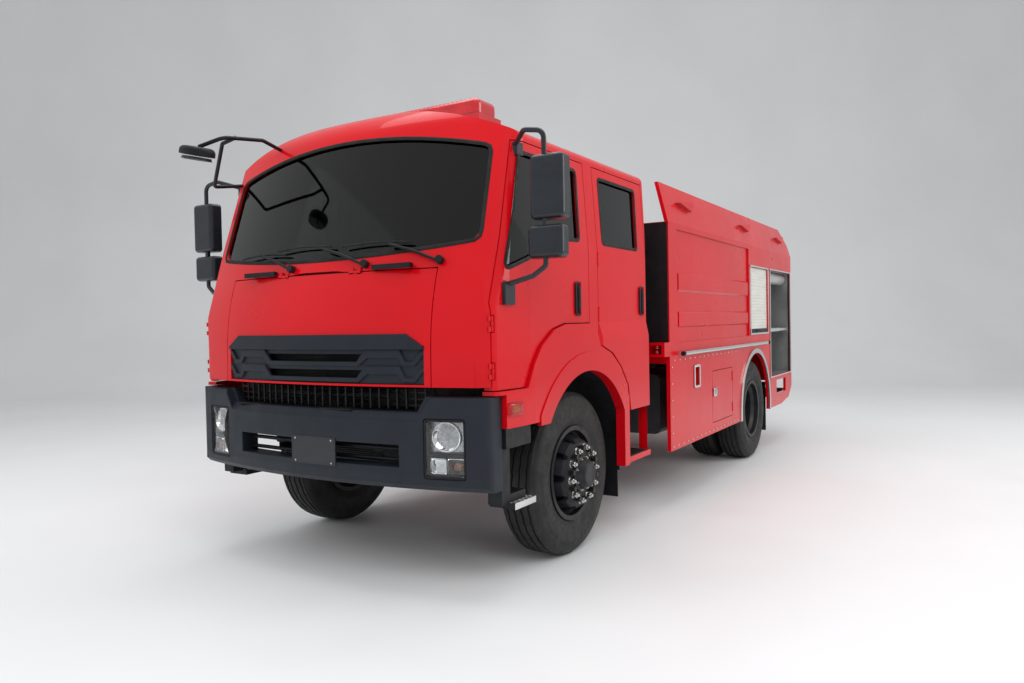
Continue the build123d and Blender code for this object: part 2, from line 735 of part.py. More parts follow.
def chassis_frame():
    """Two channel rails with cross members, cab posts, spring hangers and bumper irons."""
    rear = REAR_END - 60
    out = RAIL_OUTER_X
    web = box(out - RAIL_WALL, out, RAIL_FRONT, rear, RAIL_TOP - RAIL_HEIGHT, RAIL_TOP)
    flange = box(out - RAIL_FLANGE, out, RAIL_FRONT, rear, RAIL_TOP - RAIL_WALL, RAIL_TOP)
    rail = web + flange + Pos(0, 0, RAIL_WALL - RAIL_HEIGHT) * flange
    frame = rail + right_hand(rail)
    inner = RAIL_OUTER_X - RAIL_WALL
    for y in CROSS_MEMBERS:
        frame += box(-inner, inner, y - 30, y + 30, RAIL_TOP - 120, RAIL_TOP - RAIL_WALL)
    iron = box(RAIL_OUTER_X - 60, RAIL_OUTER_X, BUMPER_FRONT + BUMPER_WALL + 22, RAIL_FRONT, 780, 960)
    for y in (-820, 900):
        post = box(RAIL_OUTER_X - RAIL_FLANGE, RAIL_OUTER_X, y - 40, y + 40, RAIL_TOP, CAB_FLOOR)
        iron += post
    for y in (1500, 2300, 3100, 3600, 4400, 5200):
        iron += box(RAIL_OUTER_X - 50, RAIL_OUTER_X, y - 60, y + 60, RAIL_TOP, BODY_FLOOR)
    for axle_y, seat, eye, reach, thickness in (FRONT_SPRING, REAR_SPRING):
        for y in (axle_y - reach, axle_y + reach):
            iron += box(RAIL_OUTER_X - RAIL_FLANGE, RAIL_OUTER_X, y - 30, y + 30,
                        eye + thickness * SPRING_EYE + PLAY, RAIL_TOP - RAIL_HEIGHT)
    frame += iron
    frame += right_hand(iron)
    return frame


def leaf_spring(axle_y, seat, eye_height, half_length, thickness):
    """The left leaf spring at an axle, its eyes higher than its seat."""
    low = seat
    rise = eye_height - seat - thickness / 2
    face = make_face(
        ThreePointArc((-half_length, low + rise), (0, low), (half_length, low + rise))
        + Line((half_length, low + rise), (half_length, low + rise + thickness))
        + ThreePointArc((half_length, low + rise + thickness), (0, low + thickness),
                        (-half_length, low + rise + thickness))
        + Line((-half_length, low + rise + thickness), (-half_length, low + rise))
    )
    x0 = SPRING_X - SPRING_WIDTH / 2
    x1 = SPRING_X + SPRING_WIDTH / 2
    spring = side_slab(Pos(axle_y) * face, x0, x1)
    for end in (-half_length, half_length):
        spring += along_x(thickness * SPRING_EYE, x0, x1, axle_y + end, eye_height)
    return spring


def leaf_springs():
    """The front and rear leaf springs of both sides."""
    front = both_sides(leaf_spring(*FRONT_SPRING))
    rear = both_sides(leaf_spring(*REAR_SPRING))
    return Compound(children=[*front.solids(), *rear.solids()])


def front_axle_beam():
    """The dropped beam of the front axle, with an eye and a kingpin at each end."""
    half = [
        (0, BEAM_TOP - BEAM_HEIGHT),
        (560, BEAM_TOP - BEAM_HEIGHT),
        (KINGPIN_X - 60, TYRE_RADIUS - 52),
        (KINGPIN_X, TYRE_RADIUS - 52),
        (KINGPIN_X, TYRE_RADIUS + 52),
        (KINGPIN_X - 60, TYRE_RADIUS + 40),
        (560, BEAM_TOP),
        (0, BEAM_TOP),
    ]
    side = front_slab(outline(half), -BEAM_DEPTH / 2, BEAM_DEPTH / 2)
    side += along_z(38, TYRE_RADIUS - 55, TYRE_RADIUS + 55, KINGPIN_X, 0)
    side += along_z(KINGPIN_RADIUS, TYRE_RADIUS - 104, TYRE_RADIUS + 104, KINGPIN_X, 0)
    return side + right_hand(side)


def steering_knuckle():
    """The left knuckle: two bored ears, the yoke, the wheel's spindle and the track rod arm."""
    z = TYRE_RADIUS
    body = along_z(46, z + 58, z + 104, KINGPIN_X, 0) + along_z(46, z - 104, z - 58, KINGPIN_X, 0)
    yoke_in = KINGPIN_X + 50
    yoke_out = yoke_in + 24
    body += box(yoke_in, yoke_out, -62, 62, z - 104, z + 104)
    body += box(KINGPIN_X, yoke_in, -46, 46, z + 58, z + 104)
    body += box(KINGPIN_X, yoke_in, -46, 46, z - 104, z - 58)
    body += along_x(SPINDLE_RADIUS, yoke_out, SPINDLE_END, 0, z)
    arm = outline([
        (KINGPIN_X - 30, 0), (KINGPIN_X + 30, 0),
        (KINGPIN_X + 20, TRACK_ARM), (KINGPIN_X - 20, TRACK_ARM),
    ])
    body += plan_slab(arm, z - 104, z - 80)
    body += along_z(24, z - 104, z - 80, KINGPIN_X, TRACK_ARM)
    body += along_z(TRACK_PIN_RADIUS, z - 132, z - 100, KINGPIN_X, TRACK_ARM)
    body -= along_z(KINGPIN_RADIUS + BEARING_PLAY, z - 110, z + 110, KINGPIN_X, 0)
    return body


def tie_rod():
    """The track rod between the knuckles' arms, bored for the arms' pins."""
    z = TYRE_RADIUS - 118
    rod = along_x(14, -KINGPIN_X, KINGPIN_X, TRACK_ARM, z)
    for side in (-KINGPIN_X, KINGPIN_X):
        rod += along_z(24, z - 12, z + 12, side, TRACK_ARM)
        rod -= along_z(TRACK_PIN_RADIUS + BEARING_PLAY, z - 20, z + 20, side, TRACK_ARM)
    return rod


def tyre_ring():
    """A tyre about the X axis, with its middle at the origin."""
    half = TYRE_WIDTH / 2
    bead = RIM_WIDTH / 2 - 3
    inner = RIM_RADIUS + PLAY
    tread = TYRE_RADIUS
    waist = (inner + tread) / 2
    shoulder = tread - TYRE_SHOULDER
    profile = make_face(
        Line((-bead, inner), (-bead, inner + 20))
        + ThreePointArc((-bead, inner + 20), (-half, waist), (18 - half, shoulder))
        + ThreePointArc((18 - half, shoulder), (26 - half, tread - 14), (46 - half, tread - 2))
        + ThreePointArc((46 - half, tread - 2), (0, tread), (half - 46, tread - 2))
        + ThreePointArc((half - 46, tread - 2), (half - 26, tread - 14), (half - 18, shoulder))
        + ThreePointArc((half - 18, shoulder), (half, waist), (bead, inner + 20))
        + Line((bead, inner + 20), (bead, inner))
        + Line((bead, inner), (-bead, inner))
    )
    return revolve(profile, axis=Axis.X)


def rim_ring():
    """A rim's barrel with its two flanges, about the X axis."""
    half = RIM_WIDTH / 2
    flange = RIM_RADIUS + 16
    well = RIM_RADIUS - 30
    points = [
        (-half - 10, flange), (-half - 2, flange), (-half, RIM_RADIUS), (-half + 40, RIM_RADIUS - 2),
        (-half + 60, well), (half - 60, well), (half - 40, RIM_RADIUS - 2), (half, RIM_RADIUS),
        (half + 2, flange), (half + 10, flange), (half + 8, RIM_RADIUS - RIM_WALL),
        (half - 34, RIM_RADIUS - RIM_WALL - 2), (half - 66, well - RIM_WALL),
        (-half + 66, well - RIM_WALL), (-half + 34, RIM_RADIUS - RIM_WALL - 2),
        (-half - 8, RIM_RADIUS - RIM_WALL),
    ]
    return revolve(outline(points), axis=Axis.X)


def wheel_disc(face_x, root_x):
    """A wheel's dished disc: from its root in the rim's well to the flat of its bolt circle."""
    well = RIM_RADIUS - 30 - RIM_WALL / 2
    turn = 1 if face_x > root_x else -1
    wall = DISC_WALL * turn
    points = [
        (root_x - wall, well), (root_x, well), (face_x - 30 * turn, 222), (face_x, 200),
        (face_x, 60), (face_x - wall, 60), (face_x - wall, 194), (face_x - 30 * turn - wall, 212),
    ]
    disc = revolve(outline(points), axis=Axis.X)
    hole = along_x(HAND_HOLE_RADIUS, min(face_x, root_x) - 60, max(face_x, root_x) + 60, 0, 232)
    for turn_angle in range(HAND_HOLE_COUNT):
        disc -= Rot(X=(turn_angle + 0.5) * 360 / HAND_HOLE_COUNT) * hole
    return disc


def wheel_nuts(face_x):
    """The ring of wheel nuts on a disc's outer face."""
    hexagon = Pos(0, STUD_CIRCLE_RADIUS) * RegularPolygon(NUT_RADIUS, 6)
    nut = extrude(Plane.YZ.offset(face_x) * hexagon, amount=NUT_HEIGHT)
    angles = [STUD_TURN + 360 * n / STUD_COUNT for n in range(STUD_COUNT)]
    return [Rot(X=angle) * nut for angle in angles]


def front_wheel():
    """The left front wheel: rim, outward disc, nuts, hub and brake drum."""
    face = FRONT_DISC_FACE
    wheel = rim_ring() + wheel_disc(face, FRONT_DISC_ROOT)
    for nut in wheel_nuts(face):
        wheel += nut
    drum_in = KINGPIN_X + 84 - FRONT_WHEEL_X
    wheel += along_x(HUB_RADIUS, drum_in + 10, face + 10, 0, 0)
    wheel += along_x(62, face, face + 62, 0, 0)
    wheel += along_x(DRUM_RADIUS, drum_in, face - 20, 0, 0)
    wheel -= along_x(SPINDLE_RADIUS + BEARING_PLAY, drum_in - 40, SPINDLE_END - FRONT_WHEEL_X + 5, 0, 0)
    return Pos(FRONT_WHEEL_X, 0, TYRE_RADIUS) * wheel


def front_tyre():
    """The left front tyre."""
    return Pos(FRONT_WHEEL_X, 0, TYRE_RADIUS) * tyre_ring()


def rear_wheels():
    """The left twin rims with their discs back to back, hub and brake drum."""
    middle = TWIN_OUTER_X - TWIN_SPACING / 2
    out = TWIN_SPACING / 2
    half = Pos(out) * rim_ring() + wheel_disc(0, out - RIM_WIDTH / 2 + 70)
    twin = half + right_hand(half)
    twin += along_x(200, -DISC_WALL, DISC_WALL, 0, 0) - along_x(60, -20, 20, 0, 0)
    for nut in wheel_nuts(DISC_WALL):
        twin += nut
    twin += along_x(HUB_RADIUS, -160, REAR_HUB_OUT, 0, 0)
    twin += along_x(DRUM_RADIUS, -170, -30, 0, 0)
    twin -= along_x(SPINDLE_RADIUS + BEARING_PLAY, -180, REAR_HUB_OUT - 30, 0, 0)
    return Pos(middle, WHEELBASE, TYRE_RADIUS) * twin


def rear_tyres():
    """The left twin tyres."""
    outer = Pos(TWIN_OUTER_X, WHEELBASE, TYRE_RADIUS) * tyre_ring()
    inner = Pos(TWIN_OUTER_X - TWIN_SPACING, WHEELBASE, TYRE_RADIUS) * tyre_ring()
    return Compound(children=[*outer.solids(), *inner.solids()])


def rear_axle():
    """The rear axle's tube and gear case, with a spindle at each end."""
    z = TYRE_RADIUS
    middle = TWIN_OUTER_X - TWIN_SPACING / 2
    stub = middle - 190
    axle = along_x(AXLE_TUBE_RADIUS, -stub, stub, WHEELBASE, z)
    spindle_end = middle + REAR_HUB_OUT - 40
    axle += along_x(SPINDLE_RADIUS, -spindle_end, spindle_end, WHEELBASE, z)
    axle += Pos(0, WHEELBASE, z) * Rot(Y=90) * Cylinder(GEAR_CASE_RADIUS, 150)
    axle += along_y(75, WHEELBASE - 320, WHEELBASE, 0, z)
    return axle


def propeller_shaft():
    """The shaft from the gearbox to the rear axle, with a joint at each end."""
    start = Vector(0, GEARBOX_END + PLAY, 720)
    end = Vector(0, WHEELBASE - 320 - PLAY, TYRE_RADIUS)
    way = Plane(origin=start, z_dir=end - start)
    length = (end - start).length
    shaft = extrude(way * Circle(46), amount=length - 10)
    return shaft & box(-300, 300, start.Y, end.Y, 0, 1000)


def engine():
    """The engine with its gearbox as plain blocks, and the radiator ahead of them."""
    block = box(-300, 300, -600, 480, 560, 1140)
    block += box(-170, 170, 480, GEARBOX_END, 590, 860)
    block += box(-350, 350, -700, -620, 700, 1150)
    return block + box(-60, 60, -620, -600, 800, 1000)


def body_shell():
    """The locker body: its walls, bulkheads and locker floors round the water tank."""
    half = BODY_HALF_WIDTH
    shell = box(-half, half, BODY_FRONT, REAR_END, BODY_FLOOR, SHOULDER)
    tail_front = REAR_LOCKER[0] - BODY_WALL
    sill = REAR_LOCKER_SILL - BODY_WALL
    pod = box(PUMP_BAY_HALF_WIDTH, half, tail_front, REAR_END, sill, BODY_FLOOR)
    shell += pod
    shell += right_hand(pod)
    shell -= box(-half + BODY_WALL, half - BODY_WALL, BODY_FRONT + BODY_WALL, TANK_BAY_END,
                 BODY_FLOOR + BODY_WALL, SHOULDER - BODY_WALL)
    panel = box(half - PANEL_DEPTH, half + 10, *PANEL, PANEL_BOTTOM, PANEL_TOP)
    front = box(BODY_WALL / 2, half + 10, *FRONT_LOCKER, FRONT_LOCKER_SILL, LOCKER_HEAD)
    rear = box(half - LOCKER_DEPTH, half + 10, *REAR_LOCKER, REAR_LOCKER_SILL, LOCKER_HEAD)
    for room in (*pair(panel), *pair(front), *pair(rear)):
        shell -= room
    for low, high in PANEL_SWAGES:
        floor = half - PANEL_DEPTH - 1
        section = [(floor, low - 16), (half - 2, low), (half - 2, high), (floor, high + 16)]
        swage = front_slab(outline(section), PANEL[0] + 40, PANEL[1] - 40)
        for rib in pair(swage):
            shell += rib
    bay = PUMP_BAY_HALF_WIDTH
    shell -= box(-bay, bay, REAR_LOCKER[0], REAR_END + 10, BODY_FLOOR + BODY_WALL, LOCKER_HEAD)
    return shell


def water_tank():
    """The water tank as one plain block."""
    half = BODY_HALF_WIDTH - BODY_WALL - 60
    return box(-half, half, BODY_FRONT + BODY_WALL + 50, TANK_BAY_END - 50, BODY_FLOOR + BODY_WALL, 2150)


def top_wings():
    """The coamings that lean in from the body's shoulders."""
    half = BODY_HALF_WIDTH
    section = [
        (half - 2, SHOULDER), (WING_TOP_X, WING_TOP), (WING_TOP_X - WING_WALL, WING_TOP),
        (half - 2 - WING_WALL, SHOULDER),
    ]
    wing = front_slab(outline(section), BODY_FRONT, REAR_END)
    crop = outline([
        (BODY_FRONT - 10, SHOULDER - 10), (REAR_END + 10, SHOULDER - 10), (REAR_END - 40, 2400),
        (REAR_END - 330, WING_TOP + 10), (BODY_FRONT - 10, WING_TOP + 10),
    ])
    wing &= side_slab(crop, 0, 2000)
    for y in MARKER_PLACES:
        wing += marker_lamp(y)
    return both_sides(wing)


def marker_lamp(y):
    """A wedge-shaped lamp housing on a coaming, its lamp facing back."""
    face = outline([
        (y - 210, 2440), (y + 110, 2480), (y + 150, 2450), (y + 90, 2400), (y - 60, 2420)])
    return side_slab(face, WING_TOP_X + 5, WING_TOP_X + 75)


def skirts():
    """The lower side panels ahead of and behind the rear wheels."""
    half = BODY_HALF_WIDTH
    inner = half - SKIRT_WALL
    sill = REAR_LOCKER_SILL - BODY_WALL
    arch = Pos(WHEELBASE) * arch_outline(REAR_ARCH_RADIUS, REAR_ARCH_RADIUS, 200)
    front = box(inner, half, BODY_FRONT, WHEELBASE, SKIRT_BOTTOM, BODY_FLOOR)
    rear_face = outline([
        (WHEELBASE, SKIRT_BOTTOM), (5180, SKIRT_BOTTOM), (5600, 510), (REAR_END, TAIL_BOTTOM),
        (REAR_END, sill), (REAR_LOCKER[0] - BODY_WALL, sill),
        (REAR_LOCKER[0] - BODY_WALL, BODY_FLOOR), (WHEELBASE, BODY_FLOOR),
    ])
    panel = front + side_slab(rear_face, inner, half)
    panel -= side_slab(arch, 0, 2000)
    door = box(inner - 10, half + 10, SKIRT_DOOR[0] - SHUT_GAP, SKIRT_DOOR[1] + SHUT_GAP,
               SKIRT_DOOR_BOTTOM - SHUT_GAP, SKIRT_DOOR_TOP + SHUT_GAP)
    panel -= door
    panel -= box(inner - 10, half + 10, 1940, 2060, 930, 1090)
    panel -= box(inner - 10, half + 10, 4950, 5430, 600, 760)
    for piece in fixed_hinge(skirt_axis(), SKIRT_HINGES):
        panel += front_to_back(piece)
    return both_sides(panel)


def skirt_door():
    """The left hinged door in the skirt."""
    half = BODY_HALF_WIDTH
    door = box(half - SKIRT_WALL, half, *SKIRT_DOOR, SKIRT_DOOR_BOTTOM, SKIRT_DOOR_TOP)
    axis = skirt_axis()
    for room in hinge_room(axis, SKIRT_HINGES):
        door -= front_to_back(room)
    for barrel in door_hinge(axis, SKIRT_HINGES):
        door += front_to_back(barrel)
    for bore in pin_bores(axis, SKIRT_HINGES):
        door -= front_to_back(bore)
    return door


def skirt_axis():
    """Place of the skirt door's hinge pin, drawn as if its hinge were at the front."""
    return (BODY_HALF_WIDTH - 1, HINGE_SET_BACK - SKIRT_DOOR[1])


def front_to_back(shape):
    """The mirror image across the plane Y = 0."""
    return mirror(shape, about=Plane.XZ)


def shutters():
    """The closed roller shutters, and the open one rolled up on its spindle."""
    pieces = []
    half = BODY_HALF_WIDTH
    head = LOCKER_HEAD - PLAY
    front_run = (FRONT_LOCKER[0] + PLAY, FRONT_LOCKER[1] - PLAY)
    rear_run = (REAR_LOCKER[0] + PLAY, REAR_LOCKER[1] - PLAY)
    front = box(half - 34, half - 22, *front_run, FRONT_LOCKER_SILL + PLAY, head)
    rear = box(half - 34, half - 22, *rear_run, REAR_LOCKER_SILL + PLAY, head)
    bay = PUMP_BAY_HALF_WIDTH - PLAY
    back = box(-bay, bay, REAR_END - 34, REAR_END - 22, BODY_FLOOR + BODY_WALL + PLAY, head)
    drum_z = head - SHUTTER_ROLL
    drum = along_y(SHUTTER_ROLL, REAR_LOCKER[0] + 30, REAR_LOCKER[1] - 30, half - 120, drum_z)
    drum += along_y(20, *rear_run, half - 120, drum_z)
    for piece in (front, right_hand(front), right_hand(rear), back, drum):
        pieces += piece.solids()
    return Compound(children=pieces)


def light_bar():
    """The low lamp bar on the roof."""
    base = box(-620, 620, -330, -70, CAB_ROOF - 100, CAB_ROOF + 30) - cab_block(-PLAY)
    lens = box(-600, 600, -320, -80, CAB_ROOF + 30, CAB_ROOF + 140)
    upper = lens.edges().filter_by(lambda edge: edge.center().Z > CAB_ROOF + 35)
    return base + fillet(upper, 45)


def windscreen():
    """The curved windscreen in its opening."""
    opening = front_slab(offset(screen_outline(), amount=-PLAY), -2000, -500)
    return (cab_block(GLASS_DEPTH) - cab_block(GLASS_DEPTH + GLASS_WALL)) & opening


def front_door_glass():
    """The left front door's window."""
    return door_glass(front_window_outline())


def rear_door_glass():
    """The left rear door's window."""
    return door_glass(rear_window_outline())


def front_fenders():
    """The raised panels round the front wheels: the blister and the flared lip of the arch."""
    blister = [
        (BUMPER_CHEEK_END + SHUT_GAP, FENDER_BOTTOM),
        (BUMPER_CHEEK_END + SHUT_GAP, BUMPER_HORN_TOP + SHUT_GAP),
        (FRONT_DOOR_FRONT - SHUT_GAP, BUMPER_HORN_TOP + SHUT_GAP),
        (FRONT_DOOR_FRONT - SHUT_GAP, FRONT_DOOR_BOTTOM - SHUT_GAP),
        (-758, FRONT_DOOR_BOTTOM - SHUT_GAP),
        (-696, 1258),
        (-605, 1355),
        (-443, 1448),
        (-292, BLISTER_TOP - SHUT_GAP),
        (FRONT_DOOR_REAR, BLISTER_TOP - SHUT_GAP),
        (FRONT_DOOR_REAR + 60, BLISTER_TOP - SHUT_GAP),
        (REAR_DOOR_FRONT - BAND_SWING, 1333),
        (360, 1275),
        (500, 1180),
        (620, 1040),
        (ARCH_LEG + FLARE_WIDTH - 35, FENDER_BOTTOM),
        (ARCH_LEG + FLARE_WIDTH - 35, CAB_SILL),
        (0, CAB_SILL),
        (-400, FENDER_BOTTOM),
    ]
    arch = side_slab(arch_outline(ARCH_RADIUS, ARCH_LEG, 300), 0, 1500)
    over = cab_block(-BLISTER_OUT) - CAB_OUTER
    raised = (over & side_slab(make_face(Polyline(*blister, close=True)), 900, 1400)) - arch
    outer_face = arch_outline(ARCH_RADIUS + FLARE_WIDTH, ARCH_LEG + FLARE_WIDTH - 35, 300)
    crop = box(900, 1400, -2000, 0, FENDER_BOTTOM - 20, 2000)
    crop += box(900, 1400, 0, 2000, CAB_SILL, 2000)
    lip_out = cab_block(-FLARE_OUT) - CAB_OUTER
    lip = (lip_out & side_slab(outer_face, 900, 1400) & crop) - arch
    room = side_slab(front_door_outline(SHUT_GAP), 900, 1400)
    return both_sides(raised + lip - room)


def door_band():
    """The raised lower part of a rear door, with its sloped upper edge."""
    over = cab_block(-BLISTER_OUT) - CAB_OUTER
    lower = box(900, 1400, REAR_DOOR_FRONT, REAR_DOOR_REAR, REAR_DOOR_BOTTOM, BLISTER_TOP)
    inner, front = CAB_HALF_WIDTH - 2, REAR_DOOR_FRONT
    lower -= plan_slab(outline([
        (inner, front - 1), (inner + 60, front - 1), (inner + 60, front + 62), (inner, front + 2),
    ]), 0, 2000)
    lower &= side_slab(rear_door_outline(), 900, 1400)
    slope = outline([
        (CAB_HALF_WIDTH, BLISTER_TOP + 1), (CAB_HALF_WIDTH + BLISTER_OUT + 1, BLISTER_TOP + 1),
        (CAB_HALF_WIDTH + BLISTER_OUT + 1, BLISTER_TOP - 110),
    ])
    return (over & lower) - front_slab(slope, 0, 1200)


def cab_steps():
    """The black sills under the cab's front corners, each with its hanger and footstep."""
    sill = box(980, CAB_HALF_WIDTH - 12, -950, -690, FENDER_BOTTOM - 110, FENDER_BOTTOM - PLAY)
    hanger = box(1040, 1130, -945, -860, 510, FENDER_BOTTOM - 110)
    arm = box(1040, 1130, -945, -700, 510, 560)
    tread = box(1000, 1165, -870, -650, 480, 512)
    brace = box(RAIL_OUTER_X + PLAY, 985, -940, -900, 840, 900)
    return both_sides(sill + hanger + arm + tread + brace)


def front_liners():
    """The black liners inside the front arches, with the flaps behind the wheels."""
    ring = arch_outline(ARCH_RADIUS + 10, LINER_LEG + 6, 440) - arch_outline(ARCH_RADIUS + 4, LINER_LEG, 300)
    liner = side_slab(ring, 640, CAB_HALF_WIDTH - CAB_WALL - PLAY)
    liner -= box(600, 1300, -700, 0, 0, FENDER_BOTTOM - 40)
    flap = box(820, 1120, LINER_LEG + 2, LINER_LEG + 12, 250, 700)
    return both_sides(liner + flap)


def gap_panel():
    """The dark panel with the air intake between the cab and the body."""
    post = box(-1080, 1080, CAB_REAR + 60, CAB_REAR + 130, BODY_FLOOR, 2190)
    foot = box(-RAIL_OUTER_X, RAIL_OUTER_X, CAB_REAR + 60, CAB_REAR + 130, RAIL_TOP + PLAY, BODY_FLOOR)
    return post + foot


def body_lock():
    """The lock block on the body's front corner."""
    block = box(1130, 1250, BODY_FRONT - 130, BODY_FRONT - PLAY, 1208, 1318)
    return both_sides(block - box(1120, 1225, BODY_FRONT - 140, BODY_FRONT - 20, 1228, 1298))


def polished_trim():
    """The bright rims of the rear arches and the rubbing rails along the body."""
    leg = REAR_ARCH_RADIUS
    edge = leg + TRIM_WIDTH
    arch = arch_outline(edge, edge, SKIRT_BOTTOM) - arch_outline(leg, leg, 200)
    rim = side_slab(Pos(WHEELBASE) * arch, BODY_HALF_WIDTH + PLAY, BODY_HALF_WIDTH + 14)
    z = RAIL_BAR_HEIGHT
    bar = along_y(18, 1560, 4400, BODY_HALF_WIDTH + 34, z)
    for y in (1620, 2300, 2980, 3660, 4340):
        bar += along_x(8, BODY_HALF_WIDTH + PLAY, BODY_HALF_WIDTH + 34, y, z)
    return Compound(children=[*both_sides(rim).solids(), *both_sides(bar).solids()])


def locker_shelf():
    """The aluminium shelf in the open locker."""
    half = BODY_HALF_WIDTH
    return box(half - LOCKER_DEPTH + PLAY, half - 40, REAR_LOCKER[0] + PLAY, REAR_LOCKER[1] - PLAY,
               SHELF_HEIGHT - 30, SHELF_HEIGHT)


def delivery_valve():
    """The delivery outlet in the open locker: pipe, ball valve body, lever and hose coupling."""
    y, z = VALVE_PLACE
    back = BODY_HALF_WIDTH - LOCKER_DEPTH + PLAY
    valve = along_x(38, back, back + 260, y, z)
    valve += along_x(70, back, back + 16, y, z)
    valve += Pos(back + 170, y, z) * Sphere(62)
    valve += along_x(52, back + 250, back + 330, y, z)
    valve += along_z(9, z, z + 150, back + 170, y)
    valve += along_y(14, y - 60, y + 60, back + 170, z + 150)
    valve -= along_x(OUTLET_RADIUS, back + 240, back + 340, y, z)
    return valve


def fuel_tank():
    """The fuel tank behind the left skirt, with its filler neck and brackets."""
    face = outline([(500, 560), (1080, 560), (1080, 1050), (500, 1050)], 50)
    tank = front_slab(face, 1560, 2360)
    tank += along_x(52, 1060, 1195, 2000, 1010)
    for y in (1700, 2200):
        tank += box(RAIL_OUTER_X + PLAY, 520, y - 30, y + 30, 780, 960)
    return tank


def mudflaps():
    """The rubber flaps behind the rear wheels, on their hangers."""
    y = WHEELBASE + REAR_ARCH_RADIUS + 110
    flap = box(680, 1180, y, y + 10, 200, 700)
    hanger = box(RAIL_OUTER_X + PLAY, 1180, y - 20, y, 660, 760)
    return both_sides(flap + hanger)


def rear_bumper():
    """The tail's cross bar with its step, tow jaw and lamp brackets."""
    y = REAR_END
    bar = box(-1150, 1150, y - 90, y - 10, 480, 600)
    hanger = box(RAIL_OUTER_X - 60, RAIL_OUTER_X, y - 90, y - 40, 600, RAIL_TOP - RAIL_HEIGHT - PLAY)
    for iron in pair(hanger):
        bar += iron
    bar += box(-60, 60, y - 90, y - 50, 600, 715)
    for low in (600, 690):
        bar += box(-60, 60, y - 60, y, low, low + TOW_EAR)
    bar -= box(-80, 80, y - 60, y, 480, 600)
    bar -= along_z(TOW_HOLE_RADIUS, 590, 760, 0, y - 28)
    return bar


def rear_lamps():
    """The rear lamp clusters on the bar."""
    lamp = box(760, 1110, REAR_END - 10 + PLAY, REAR_END, 495, 585)
    return both_sides(lamp)


def dashboard():
    """The dashboard across the cab, with the column and steering wheel."""
    back = FIREWALL_Y + 30 + PLAY
    corners = [(back, 1420), (back, 1770), (-820, 1740), (-760, 1640), (-800, 1480), (-900, 1420)]
    section = outline(corners, 25)
    board = side_slab(section, -1050, 1050)
    wheel = Torus(215, 16) + Cylinder(50, 24) + Box(400, 34, 14) + Pos(0, -100, 0) * Box(34, 200, 14)
    board += Pos(620, -640, 1760) * Rot(X=55) * wheel
    column = extrude(Plane(origin=(620, -640, 1760), z_dir=(0, -0.82, -0.57)) * Circle(32), amount=260)
    board += column
    return CAB_INNER & board


def seats():
    """The front seats and the crew's bench, as plain padded forms."""
    pieces = []
    for x, half, y in ((620, 270, -420), (-620, 270, -420), (0, 950, 480)):
        base = box(x - half, x + half, y, y + 520, 1400, 1560)
        back = outline([(y + 430, 1500), (y + 560, 2140), (y + 460, 2160), (y + 320, 1540)], 30)
        seat = base + side_slab(back, x - half, x + half)
        seat += box(x - half + 80, x + half - 80, y + 60, y + 440, CAB_FLOOR + CAB_FLOOR_WALL + PLAY, 1410)
        pieces += seat.solids()
    return Compound(children=pieces)


def rounded_head(head):
    """A mirror's head with its edges rounded, but for those round its glass at the back."""
    back = head.faces().sort_by(Axis.Y)[-1].edges()
    return fillet([edge for edge in head.edges() if edge not in back], 28)


def door_mirror():
    """The left mirrors on their arms: a tall head over a square wide-angle head."""
    arm = tube([(1110, -720, 2470), (1250, -850, 2520), (1370, -850, 2500), (1372, -850, 2300)], 14, 50)
    low = tube([(1372, -850, 1960), (1372, -850, 1790), (1300, -860, 1740), (1165, -900, 1700)], 14, 30)
    tall = rounded_head(box(1290, 1490, -880, -790, 2035, 2375))
    small = rounded_head(box(1272, 1482, -880, -800, 1830, 2005))
    link = box(1360, 1384, -862, -838, 1990, 2045)
    foot = box(1150, 1180, -950, -850, 1590, 1710)
    top = box(1095, 1150, -752, -690, 2420, 2490)
    return (arm + low + tall + small + link + foot + top) - CAB_OUTER


def look_down_mirror():
    """The oval mirror ahead of the cab's right front corner, on its tube frame."""
    middle = 90 - MIRROR_REACH
    over = [(-640, -800, 2662), (-600, -1000, 2690), (-560, -1330, 2640), (-700, middle, 2590)]
    under = [(-1060, -780, 2480), (-1060, -1020, 2440), (-700, -1230, 2640), (-575, -1230, 2660)]
    top = tube(over, 12, 60)
    brace = tube(under, 12, 40)
    bowl = extrude(Ellipse(125, 90), amount=50)
    head = Pos(-720, middle, 2540) * Rot(Y=12) * fillet(bowl.edges().group_by(Axis.Z)[-1], 30)
    return (top + brace + head) - CAB_OUTER


def wipers():
    """The three wipers: pivots, arms and blades lying on the windscreen."""
    pieces = []
    for pivot in WIPER_PIVOTS:
        height = FLAP_TOP + 40
        hub = extrude(nose_plane(height, pivot) * Circle(22), amount=34)
        route = [(pivot, height, 26), (pivot - 170, height + 65, 24), (pivot - 330, height + 110, 22)]
        arm = tube([(x, on_nose(z, x) - off, z) for x, z, off in route], 9, 30)
        pieces += (hub + arm).solids()
    return Compound(children=pieces)


def grab_handles():
    """The two black handles under the windscreen."""
    pieces = []
    for middle in (-490, 555):
        y = on_nose(FLAP_TOP + 12, middle)
        grip = box(middle - 135, middle + 135, y - 42, y - 22, FLAP_TOP + 8, FLAP_TOP + 36)
        for foot in (middle - 120, middle + 100):
            grip += box(foot, foot + 24, y - 30, y + 8, FLAP_TOP + 10, FLAP_TOP + 34)
        pieces += (grip - CAB_OUTER).solids()
    return Compound(children=pieces)


def left_and_right(name, maker):
    """Two nodes, one for each side, from the maker of the left one."""
    left = maker()
    return {f"{name}_left": left, f"{name}_right": right_hand(left)}


def rear_door_with_band():
    """The left rear door with its raised lower part."""
    return rear_door() + door_band()


